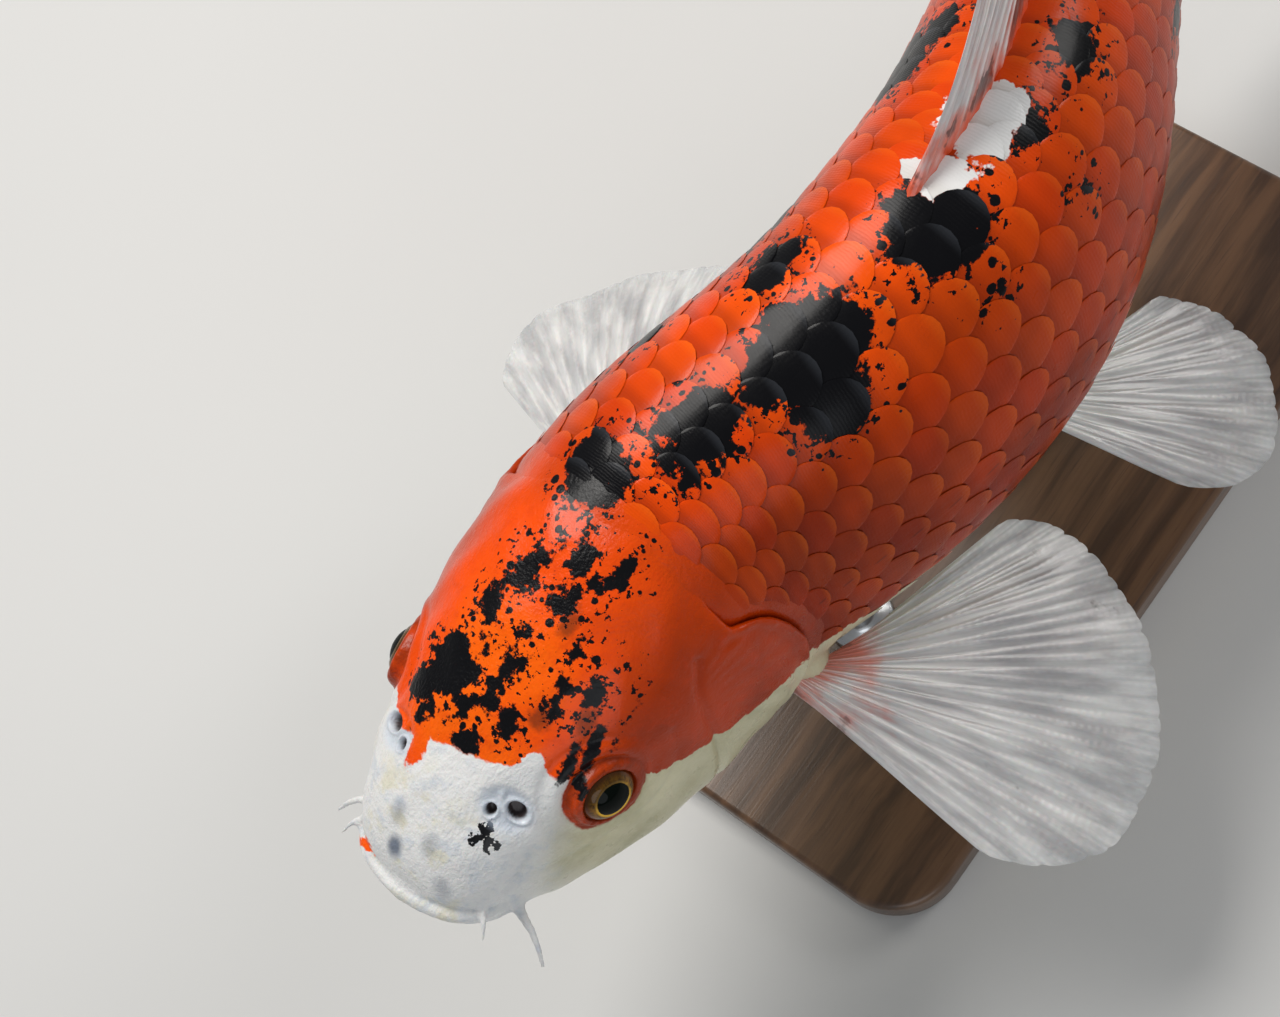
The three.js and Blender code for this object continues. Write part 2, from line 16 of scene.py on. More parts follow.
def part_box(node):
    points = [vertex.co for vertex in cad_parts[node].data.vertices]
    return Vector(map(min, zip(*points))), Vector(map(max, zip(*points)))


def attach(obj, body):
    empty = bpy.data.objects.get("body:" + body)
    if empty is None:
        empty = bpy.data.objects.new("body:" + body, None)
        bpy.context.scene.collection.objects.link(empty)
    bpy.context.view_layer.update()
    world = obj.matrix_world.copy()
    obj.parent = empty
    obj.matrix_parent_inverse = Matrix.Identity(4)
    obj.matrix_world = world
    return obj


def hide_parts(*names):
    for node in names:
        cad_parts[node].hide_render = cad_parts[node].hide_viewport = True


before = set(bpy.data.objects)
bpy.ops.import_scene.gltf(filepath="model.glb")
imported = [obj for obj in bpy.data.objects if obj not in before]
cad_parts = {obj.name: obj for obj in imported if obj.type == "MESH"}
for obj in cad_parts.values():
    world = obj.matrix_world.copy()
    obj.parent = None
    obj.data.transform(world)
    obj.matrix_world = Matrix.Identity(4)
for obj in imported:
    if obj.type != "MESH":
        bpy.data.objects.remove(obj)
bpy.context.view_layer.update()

# ---- driving dimensions, as in the part's source -----------------------------------------------
BODY_LENGTH = 460
SWIM_HEIGHT = 168
PITCH = math.radians(5)
NECK = 96  # the skull's rear edge on the back


def curve(*points):
    """A smooth function through (place, value) points that never overshoots them."""
    at, value = (np.array(column, float) for column in zip(*points))
    width = np.diff(at)
    slope = np.diff(value) / width
    tangent = np.concatenate([slope[:1], np.zeros(len(at) - 2), slope[-1:]])
    before, after = slope[:-1], slope[1:]
    steady = before * after > 0
    weight = 2 * width[1:] + width[:-1], width[1:] + 2 * width[:-1]
    flow = sum(weight) / (weight[0] / np.where(steady, before, 1) + weight[1] / np.where(steady, after, 1))
    tangent[1:-1][steady] = flow[steady]

    def through(where):
        x = np.clip(where, at[0], at[-1])
        i = np.clip(np.searchsorted(at, x, side="right") - 1, 0, len(width) - 1)
        t = (x - at[i]) / width[i]
        u = 1 - t
        ends = value[i] * (1 + 2 * t) * u * u + value[i + 1] * t * t * (3 - 2 * t)
        return ends + width[i] * (tangent[i] * t * u * u - tangent[i + 1] * t * t * u)

    return through


back_line = curve(
    (0, 1), (3, 8), (9, 15), (20, 23), (35, 32), (55, 42), (80, 50.5), (105, 57), (135, 62.5),
    (170, 67), (205, 70), (240, 68), (280, 61), (320, 50.5), (360, 40), (400, 31.5), (430, 27),
    (460, 28),
)
belly_line = curve(
    (0, -4), (4, -11), (14, -20), (35, -31), (60, -40), (85, -46.5), (110, -50.5), (140, -52.5),
    (175, -55), (210, -55), (260, -50), (300, -42), (340, -31.5), (380, -22.5), (400, -19),
    (430, -16.5), (460, -18),
)
half_width = curve(
    (0, 9), (3, 15.5), (9, 21.5), (20, 27.5), (35, 33), (55, 38.5), (80, 42), (105, 42.5),
    (135, 42.5), (170, 42.5), (210, 42), (250, 39), (300, 32.5), (350, 23.5), (400, 14.5),
    (430, 10), (460, 6.5),
)
widest_share = curve((0, 0.5), (40, 0.36), (110, 0.38), (170, 0.44), (460, 0.5))
square_below = curve((0, 2.2), (10, 2.6), (50, 2.9), (110, 2.7), (170, 2.3), (460, 2.1))
square_above = curve((0, 2.3), (60, 2.4), (110, 2.15), (460, 2))
heading = curve(
    (0, 0), (88, 0), (141, 18), (206, 0), (280, -21.5), (400, 4), (460, 17), (570, 28),
)

# Rear edge of the gill cover and front edge of its plate, from the nape down to the throat: (s, z).
GILL_EDGE = [(96, 30), (107, 22), (115, 10), (118.5, -3), (115.5, -15), (107, -26), (96, -35),
             (84, -40.5), (74, -43)]
CHEEK_EDGE = [(84, 28), (78, 18), (76, 0), (73, -22), (68, -40)]

EYE = np.array([29.5, 47.5, 14.5])
EYE_AXIS = np.array(Vector((0.93, -0.16, 0.33)).normalized())
EYE_OPENING = 7.95

# ---- shape of the straight body ----------------------------------------------------------------
SHARES = 129  # samples round half the body


def section(s, angle):
    """Left half of the body's section at s. Angle pi/2 is the back and -pi/2 the belly."""
    top, bottom = back_line(s), belly_line(s)
    level = bottom + (top - bottom) * widest_share(s)
    across, rise = np.cos(angle), np.sin(angle)
    power = 2 / np.where(rise > 0, square_above(s), square_below(s))
    reach = np.where(rise > 0, top - level, level - bottom)
    x = half_width(s) * np.abs(across) ** power
    return x, level + reach * np.sign(rise) * np.abs(rise) ** power


def girth_table():
    """Section points at even steps round the body, one row for each millimetre of s."""
    s = np.arange(BODY_LENGTH + 1.0)
    x, z = section(s[:, None], np.linspace(math.pi / 2, -math.pi / 2, 1441)[None])
    way = np.hypot(np.diff(x, axis=1), np.diff(z, axis=1)).cumsum(axis=1)
    way = np.concatenate([np.zeros((len(s), 1)), way], axis=1)
    share = np.linspace(0, 1, SHARES)
    even_x, even_z = (
        np.array([np.interp(share * w[-1], w, row) for w, row in zip(way, side)]) for side in (x, z)
    )
    return even_x, even_z, way[:, -1]


GIRTH_X, GIRTH_Z, HALF_GIRTH = girth_table()


def half_girth(s):
    return np.interp(s, np.arange(BODY_LENGTH + 1.0), HALF_GIRTH)


def outline(s, w):
    """Points of the body's surface at s and w. Past the belly's middle, w runs on up the far side."""
    share = np.abs(w) / half_girth(s)
    side = np.where(share > 1, -np.sign(w), np.where(w < 0, -1, 1))
    share = np.where(share > 1, 2 - share, share)
    row = np.clip(s, 0, BODY_LENGTH - 1e-6)
    column = np.clip(share, 0, 1 - 1e-9) * (SHARES - 1)
    i, j = row.astype(int), column.astype(int)
    p, q = row - i, column - j
    x, z = (
        (t[i, j] * (1 - p) + t[i + 1, j] * p) * (1 - q) + (t[i, j + 1] * (1 - p) + t[i + 1, j + 1] * p) * q
        for t in (GIRTH_X, GIRTH_Z)
    )
    return np.stack([side * x, s, z], -1)


def unit(vectors):
    return vectors / np.linalg.norm(vectors, axis=-1, keepdims=True)


def outward(s, w):
    """Direction straight out of the body's surface at s and w."""
    step = 1.5
    along = outline(s + step, w) - outline(s - step, w)
    round_it = outline(s, w + step) - outline(s, w - step)
    return unit(np.cross(round_it, along))


def on_body(s, w, height=0.0):
    return outline(s, w) + outward(s, w) * np.asarray(height)[..., None]


def place_on_body(points):
    """The s and w of points near the body's surface."""
    s = np.clip(points[:, 1], 0, BODY_LENGTH)
    row = np.round(s).astype(int)
    w = np.empty(len(points))
    for part in np.array_split(np.arange(len(points)), max(1, len(points) // 20000)):
        dx = GIRTH_X[row[part]] - np.abs(points[part, 0])[:, None]
        dz = GIRTH_Z[row[part]] - points[part, 2][:, None]
        far = np.pad(dx * dx + dz * dz, ((0, 0), (1, 1)), mode="edge")
        k = far.argmin(1)
        k = np.clip(k, 1, SHARES)
        pick = np.arange(len(part))
        before, here, after = far[pick, k - 1], far[pick, k], far[pick, k + 1]
        lean = before - 2 * here + after
        shift = np.where(lean > 1e-9, 0.5 * (before - after) / np.maximum(lean, 1e-9), 0)
        share = (k - 1 + np.clip(shift, -0.5, 0.5)) / (SHARES - 1)
        w[part] = np.clip(share, 0, 1) * HALF_GIRTH[row[part]]
    return s, w * np.where(points[:, 0] < 0, -1, 1)


def side_of(points):
    """Factors that carry points of the right side over to the left and leave the others."""
    return np.where(points[:, :1] < 0, (-1, 1, 1), (1, 1, 1))


def mix(a, b, t):
    return a + (b - a) * t


def ease(low, high, value):
    """0 below low, 1 above high and a soft step between. It falls where low is the larger."""
    t = np.clip((value - low) / (high - low), 0, 1)
    return t * t * (3 - 2 * t)


def bell(offset, width):
    """1 where the offset is 0, falling softly to nothing either side."""
    return np.exp(-((offset / width) ** 2))


def spline(points, count):
    """Evenly spaced points of a smooth line through a few points."""
    points = np.array(points, float)
    way = np.concatenate([[0], np.linalg.norm(np.diff(points, axis=0), axis=1).cumsum()])
    steps = np.linspace(0, way[-1], count)
    return np.stack([curve(*zip(way, column))(steps) for column in points.T], -1)


def share_of_edge(s, z):
    _, w = place_on_body(np.array([(40.0, s, z)]))
    return w[0] / half_girth(s)


# Where the bare head ends, as s against the share of the way round from back to belly.
gill_rear = curve(
    (0, NECK + 2), (0.12, NECK + 1.5), *((share_of_edge(s, z), s) for s, z in GILL_EDGE), (1, 67),
)

# ---- the pose ----------------------------------------------------------------------------------
SPINE_S = np.arange(-30, 581)
spine_turns = np.radians(heading(SPINE_S[:-1] + 0.5))
SPINE_X = np.concatenate([[0], np.sin(spine_turns).cumsum()])
SPINE_Y = np.concatenate([[0], np.cos(spine_turns).cumsum()]) + SPINE_S[0]
SPINE_X -= SPINE_X[-SPINE_S[0]]


def backbone(s):
    """Origin and left, back and up directions of the bent backbone at one s."""
    turn = math.radians(float(heading(s)))
    origin = np.array([np.interp(s, SPINE_S, SPINE_X), np.interp(s, SPINE_S, SPINE_Y), 0])
    left = np.array([math.cos(turn), -math.sin(turn), 0])
    return origin, left, np.array([math.sin(turn), math.cos(turn), 0]), np.array([0, 0, 1.0])


def bend(points):
    """From the straight frame to the bent fish, still level."""
    x, s, z = np.moveaxis(np.asarray(points, float), -1, 0)
    turn = np.radians(heading(s))
    y = np.interp(s, SPINE_S, SPINE_Y) - x * np.sin(turn)
    return np.stack([np.interp(s, SPINE_S, SPINE_X) + x * np.cos(turn), y, z], -1)


def swim(points):
    """Pitches the level fish nose up at its height."""
    x, y, z = np.moveaxis(np.asarray(points, float), -1, 0)
    back = y * math.cos(PITCH) + z * math.sin(PITCH)
    return np.stack([x, back, z * math.cos(PITCH) - y * math.sin(PITCH) + SWIM_HEIGHT], -1)


eye_box = np.array([list(corner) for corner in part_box("eye_left")])
SHIFT = 1000 * eye_box.mean(0) - swim(bend([EYE]))[0]


def to_row(points):
    """Points of the pitched fish to the row frame, in metres."""
    return (points + SHIFT) / 1000


def posed(points):
    return to_row(swim(bend(points)))


# ---- making meshes -----------------------------------------------------------------------------
def sheet(work, columns, rows, place):
    """Adds a grid of faces whose corner at the shares (u, v) of its sides goes to place(u, v)."""
    made = bmesh.ops.create_grid(work, x_segments=columns, y_segments=rows, size=0.5)["verts"]
    shares = np.array([vertex.co[:2] for vertex in made]) + 0.5
    for vertex, point in zip(made, place(shares[:, 0], shares[:, 1])):
        vertex.co = point
    return made


def tube(work, path, radius, sides):
    """A round tube along a path of points, closed to a point at both ends."""
    ahead = unit(np.gradient(path, axis=0))
    across = unit(np.cross(ahead, (0.05, 0.1, 1)))
    above = np.cross(across, ahead)
    steps = np.arange(len(path)) / (len(path) - 1)
    width = np.broadcast_to(radius, len(path))

    def place(u, v):
        inner = np.clip((v - 0.02) / 0.96, 0, 1)
        centre, out, up = (
            np.stack([np.interp(inner, steps, column) for column in track.T], -1)
            for track in (path, across, above)
        )
        reach = np.interp(inner, steps, width) * np.where((v < 1e-6) | (v > 1 - 1e-6), 0, 1)
        turn = 2 * math.pi * u
        return centre + reach[:, None] * (out * np.cos(turn)[:, None] + up * np.sin(turn)[:, None])

    return sheet(work, sides, len(path) + 2, place)


def close(work, gap=1e-4):
    bmesh.ops.remove_doubles(work, verts=work.verts, dist=gap)
    bmesh.ops.recalc_face_normals(work, faces=work.faces)


def lathed(profile, steps):
    """A round form with its axis upright, turned from (radius, height) points."""
    work = bmesh.new()
    stops = [work.verts.new((radius, 0, height)) for radius, height in profile]
    edges = [work.edges.new(pair) for pair in zip(stops, stops[1:])]
    bmesh.ops.spin(work, geom=stops + edges, axis=(0, 0, 1), cent=(0, 0, 0), angle=2 * math.pi, steps=steps,
                   use_merge=True)
    return work


def mesh_of(work, name):
    made = bpy.data.meshes.new(name)
    work.to_mesh(made)
    work.free()
    return made


def corners(mesh):
    points = np.empty(len(mesh.vertices) * 3)
    mesh.vertices.foreach_get("co", points)
    return points.reshape(-1, 3)


def set_corners(mesh, points):
    mesh.vertices.foreach_set("co", np.asarray(points, np.float32).ravel())
    mesh.update()


def normals(mesh):
    out = np.empty(len(mesh.vertices) * 3)
    mesh.vertex_normals.foreach_get("vector", out)
    return out.reshape(-1, 3)


def remeshed(mesh, voxel):
    """One even closed surface round all the shells of a mesh."""
    body = bpy.data.objects.new("remesh", mesh)
    bpy.context.scene.collection.objects.link(body)
    remesh = body.modifiers.new("voxels", "REMESH")
    remesh.mode = "VOXEL"
    remesh.voxel_size = voxel
    made = bpy.data.meshes.new_from_object(body.evaluated_get(bpy.context.evaluated_depsgraph_get()))
    bpy.data.objects.remove(body)
    return made


def relax(mesh, rounds, strength=0.5):
    """Draws every corner towards the middle of its neighbours."""
    edges = np.empty(len(mesh.edges) * 2, int)
    mesh.edges.foreach_get("vertices", edges)
    a, b = edges.reshape(-1, 2).T
    points = corners(mesh)
    ends = np.concatenate([a, b])
    count = np.bincount(ends, minlength=len(points))[:, None]
    for _ in range(rounds):
        sums = [np.bincount(ends, np.concatenate([c[b], c[a]]), len(points)) for c in points.T]
        points = mix(points, np.stack(sums, -1) / count, strength)
    set_corners(mesh, points)


def label(mesh, name, three):
    """Keeps three numbers for each corner, given as three rows, which the materials read."""
    kept = mesh.attributes.new(name, "FLOAT_VECTOR", "POINT")
    kept.data.foreach_set("vector", np.stack(three, -1).astype(np.float32).ravel())


def finished(mesh, name, material, replaced=()):
    """The piece in the scene: smooth, with its material, riding on the body."""
    mesh.name = name
    mesh.shade_smooth()
    mesh.materials.clear()
    mesh.materials.append(material)
    made = bpy.data.objects.new(name, mesh)
    bpy.context.scene.collection.objects.link(made)
    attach(made, "root")
    if replaced:
        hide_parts(*replaced)
    return made


# ---- shader maths ------------------------------------------------------------------------------
class Wire:
    """A node's output. Arithmetic on it adds Math nodes."""

    def __init__(self, recipe, socket):
        self.recipe = recipe
        self.socket = socket

    def math(self, operation, *values):
        return self.recipe.node("Math", {"operation": operation}, dict(enumerate(values)))

    def __add__(self, other):
        return self.math("ADD", self, other)

    def __sub__(self, other):
        return self.math("SUBTRACT", self, other)

    def __rsub__(self, other):
        return self.math("SUBTRACT", other, self)

    def __mul__(self, other):
        return self.math("MULTIPLY", self, other)

    def __truediv__(self, other):
        return self.math("DIVIDE", self, other)

    def __abs__(self):
        return self.math("ABSOLUTE", self)

    def least(self, other):
        return self.math("MINIMUM", self, other)

    def most(self, other):
        return self.math("MAXIMUM", self, other)

    def wave(self):
        return self.math("SINE", self)

    def ease(self, low, high):
        """0 at low, 1 at high and a soft step between."""
        settings = {"interpolation_type": "SMOOTHSTEP"}
        return self.recipe.node("MapRange", settings, {"Value": self, "From Min": low, "From Max": high})

    __radd__ = __add__
    __rmul__ = __mul__


class Recipe:
    """A material under construction: one Principled shader and the nodes that feed it."""

    def __init__(self, name, **constants):
        self.material = bpy.data.materials.new(name)
        self.material.use_nodes = True
        self.tree = self.material.node_tree
        self.tree.nodes.clear()
        self.surface = self.tree.nodes.new("ShaderNodeBsdfPrincipled")
        self.output = self.tree.nodes.new("ShaderNodeOutputMaterial")
        self.tree.links.new(self.surface.outputs[0], self.output.inputs[0])
        for socket, value in constants.items():
            self.surface.inputs[socket.replace("_", " ")].default_value = value

    def node(self, kind, settings=None, inputs=None, output=0):
        made = self.tree.nodes.new("ShaderNode" + kind)
        for key, value in (settings or {}).items():
            setattr(made, key, value)
        for key, value in (inputs or {}).items():
            self.plug(made.inputs[key], value)
        return Wire(self, made.outputs[output])

    def plug(self, socket, value):
        if isinstance(value, Wire):
            self.tree.links.new(value.socket, socket)
        else:
            socket.default_value = value

    def feed(self, **sockets):
        """Links or sets sockets of the shader."""
        for name, value in sockets.items():
            self.plug(self.surface.inputs[name.replace("_", " ")], value)
        return self.material

    def blend(self, share, low, high):
        settings = {"data_type": "RGBA"}
        return self.node("Mix", settings, {0: share, 6: low, 7: high}, output=2)

    def vector(self, operation, a, b=None, output=0):
        inputs = {0: a} if b is None else {0: a, 1: b}
        return self.node("VectorMath", {"operation": operation}, inputs, output)

    def length(self, a):
        return self.vector("LENGTH", a, output=1)

    def label(self, name):
        return self.node("Attribute", {"attribute_name": name}, output=1)

    def split(self, vector):
        return [self.node("SeparateXYZ", inputs={0: vector}, output=i) for i in range(3)]

    def join(self, x, y):
        return self.node("CombineXYZ", inputs={0: x, 1: y})

    def noise(self, place, size, detail=2.0, rough=0.5, colour=False):
        """Cloudy noise round 0.5 with features of about one size, in the place's own units."""
        inputs = {"Vector": place, "Scale": 1 / size, "Detail": detail, "Roughness": rough}
        return self.node("TexNoise", {}, inputs, output=1 if colour else 0)

    def cells(self, place, size, feature="F1", output=0):
        settings = {"feature": feature}
        return self.node("TexVoronoi", settings, {"Vector": place, "Scale": 1 / size}, output)

    def graph(self, value, points):
        """A soft curve through (value, result) points."""
        (low, high), (bottom, top) = ((min(column), max(column)) for column in zip(*points))
        made = self.tree.nodes.new("ShaderNodeFloatCurve")
        line = made.mapping.curves[0]
        scaled = [((x - low) / (high - low), (y - bottom) / (top - bottom)) for x, y in points]
        line.points[0].location, line.points[1].location = scaled[0], scaled[-1]
        for place in scaled[1:-1]:
            line.points.new(*place)
        made.mapping.update()
        self.plug(made.inputs["Value"], (value - low) / (high - low))
        return Wire(self, made.outputs[0]) * (top - bottom) + bottom

    def bumped(self, height, distance, strength=1.0):
        inputs = {"Height": height, "Distance": distance, "Strength": strength}
        return self.feed(Normal=self.node("Bump", {}, inputs))


# ---- colours -----------------------------------------------------------------------------------
VIVID_ORANGE = (0.88, 0.076, 0.001, 1)
# Orange of the flanks in painted shade.
FLANK_SHADE_ORANGE = (0.27, 0.024, 0.001, 1)
GOLDEN_ORANGE = (0.96, 0.145, 0.001, 1)
PEARL = (0.78, 0.78, 0.77, 1)
# Cream and olive of the painted shade on the lower head; cream is also the snout's own yellow tone.
CREAM = (0.68, 0.635, 0.43, 1)
OLIVE_SHADE = (0.36, 0.34, 0.17, 1)
INK = (0.003, 0.003, 0.004, 1)
SLATE = (0.12, 0.15, 0.21, 1)
RUST = (0.62, 0.045, 0.002, 1)
LID_BROWN = (0.24, 0.028, 0.004, 1)
PATCH_BROWN = (0.13, 0.03, 0.006, 1)
ICE_BLUE = (0.50, 0.57, 0.66, 1)
# Painted shade: blue in the basin round the nostrils and dark brown in the hollows of the head.
NOSTRIL_SHADE_BLUE = (0.46, 0.55, 0.68, 1)
HOLLOW_SHADE_BROWN = (0.035, 0.014, 0.010, 1)

# A scale's bare rim in painted highlight and its root in painted shade, both also the net between scales, on
# orange, black and white skin; and the pore of the lateral row.
RIM_HIGHLIGHT_ORANGE = (0.98, 0.20, 0.012, 1)
RIM_HIGHLIGHT_GREY = (0.10, 0.11, 0.13, 1)
ROOT_SHADE_RED = (0.16, 0.010, 0.002, 1)
ROOT_SHADE_TAN = (0.42, 0.38, 0.30, 1)
PORE_BROWN = (0.07, 0.015, 0.01, 1)

FIN_GREY = (0.36, 0.36, 0.36, 1)
FIN_WHITE = (0.92, 0.90, 0.87, 1)
FIN_WEB = (0.62, 0.64, 0.66, 1)
FIN_BLUSH = (0.80, 0.10, 0.02, 1)

IRIS_BROWN = (0.05, 0.020, 0.002, 1)
IRIS_AMBER = (0.27, 0.115, 0.006, 1)
IRIS_SPOKE = (0.45, 0.23, 0.012, 1)
IRIS_GOLD = (0.90, 0.52, 0.03, 1)
IRIS_EDGE = (0.13, 0.028, 0.003, 1)
IRIS_SHADE = (0.05, 0.022, 0.003, 1)
PUPIL = (0.0015, 0.003, 0.002, 1)

# Black patches on the back and crown: s, w, half length, half width.
BLACK_PATCHES = [
    (47, -10.5, 7.5, 8.5), (42, -16, 4.4, 4.4), (53, -12, 3.5, 3), (42, -3, 4.5, 4), (46, 3, 3, 2.4),
    (49, 1, 2.8, 2), (55, 2, 3.4, 2.6), (57, 5, 2.4, 1.8), (37, 2, 3.2, 2.8), (44, 9, 2.7, 2.5),
    (65, -10, 5.5, 3), (62, -8, 3, 2.4), (75, -7, 5.5, 4.2), (81, -4, 4, 2.2), (62, 1, 2, 1.8),
    (57, -6, 1.5, 1.8), (54, -4, 1.5, 1.4), (56, 18, 4, 2.4), (62, 25, 4.4, 2.6), (66, 29, 2.4, 1.8),
    (67, 16, 2.2, 1.4), (65, 22, 1.8, 1.5), (34, -13, 1.6, 1.2), (37, -10.5, 1.5, 1.3),
    (75, 7, 4.6, 3.8), (84, 5, 4.6, 4), (80, 11, 3, 2.6), (89, 15, 3.4, 2.6), (103, -6, 9, 9),
    (125, 7, 13, 9), (157, 8, 17, 11), (166, -17, 9, 7), (156, 24, 9, 7), (199, 10, 13, 13),
    (230, 13, 7, 5), (255, 17, 9, 7), (229, 36, 3, 3), (197, 33, 3, 2.5), (178, -46, 14, 9),
    (246, -34, 16, 10), (256, -24, 8, 7), (222, -66, 5, 4), (292, 10, 14, 9), (302, 22, 9, 8),
    (338, -14, 17, 10), (350, -30, 9, 8), (280, -60, 12, 9), (292, -70, 7, 6), (356, 14, 16, 9),
    (366, 26, 7, 6), (404, -6, 17, 12), (416, 8, 8, 6), (442, 14, 8, 6), (298, 58, 7, 5), (132, -34, 6, 5),
    (436, -20, 5, 4), (384, 34, 4, 3),
]
BROWN_PATCHES = [(50, 15.5, 3, 2), (55, 26, 3, 2.2), (70, 10, 3, 2)]
BROW_MARKS = [(45, 27.5, 4.6, 1.6), (53, 31.5, 6.5, 2.0), (56, 36, 5, 1.2), (43, 33, 2.2, 1.5)]
WHITE_PATCHES = [
    (226, 2, 14, 8), (312, -52, 26, 24), (330, -70, 18, 20), (332, 52, 22, 24), (322, 36, 14, 11),
    (384, 10, 16, 22), (376, 34, 12, 14), (424, -24, 20, 18), (410, -30, 12, 14),
]
ORANGE_MARKS = [(28, -9.5, 5.5, 2.6), (2.2, -17, 1.5, 4.0)]
SLATE_SPOTS = [(6, -4, 2.2, 2.2)]
FAINT_SPOTS = [(11, 5, 2.7, 2.2), (13, -6.5, 2.6, 2.2), (5, 12, 2, 2.6)]
STAR = (20.6, 16.9, 0)  # s and w of the jagged star beside the left nostril
EYE_RING = 11.8  # radius of the orange round the eye
FAR_OFF = 40  # beyond this the distance from a marking no longer counts
FEELERS_START = 20.5  # how far out from the middle the feelers leave the face, where orange marks end

# Where the white snout ends against the way round, and how far up the white flank comes against s.
SNOUT_END = [
    (-60, 62), (-46, 50), (-31, 38), (-22, 32), (-15, 29), (-6, 31), (6, 33), (16, 38), (20, 43),
    (25, 41), (30, 43), (46, 50), (60, 62),
]
FLANK_END = [
    (0, 24), (36, 34), (52, 46), (66, 68), (88, 82), (130, 98), (200, 120), (300, 112), (400, 66), (470, 40),
]


def outside_of(spots, s, w):
    """Distance outside a group of ellipses on the body, less than 0 inside them."""
    near = [
        (np.hypot((s - at) / long, (w - off) / wide) - 1) * min(long, wide)
        for at, off, long, wide in spots
    ]
    return np.minimum(np.minimum.reduce(near), FAR_OFF)


def label_body(mesh, s, w, straight):
    """Keeps what the fish's colours need at every corner: its place and how far off each marking is."""
    from_eye = np.linalg.norm(straight * side_of(straight) - EYE, axis=1)
    orange = np.maximum(outside_of(ORANGE_MARKS, s, w), np.abs(straight[:, 0]) - FEELERS_START)
    label(mesh, "lie", [s, w, np.abs(w)])
    label(mesh, "straight", straight.T)
    label(mesh, "dark", [outside_of(marks, s, w) for marks in (BLACK_PATCHES, BROW_MARKS, BROWN_PATCHES)])
    label(mesh, "light", [outside_of(WHITE_PATCHES, s, w), orange, from_eye])
    label(mesh, "grey", [outside_of(SLATE_SPOTS, s, w), outside_of(FAINT_SPOTS, s, w), 0 * s])


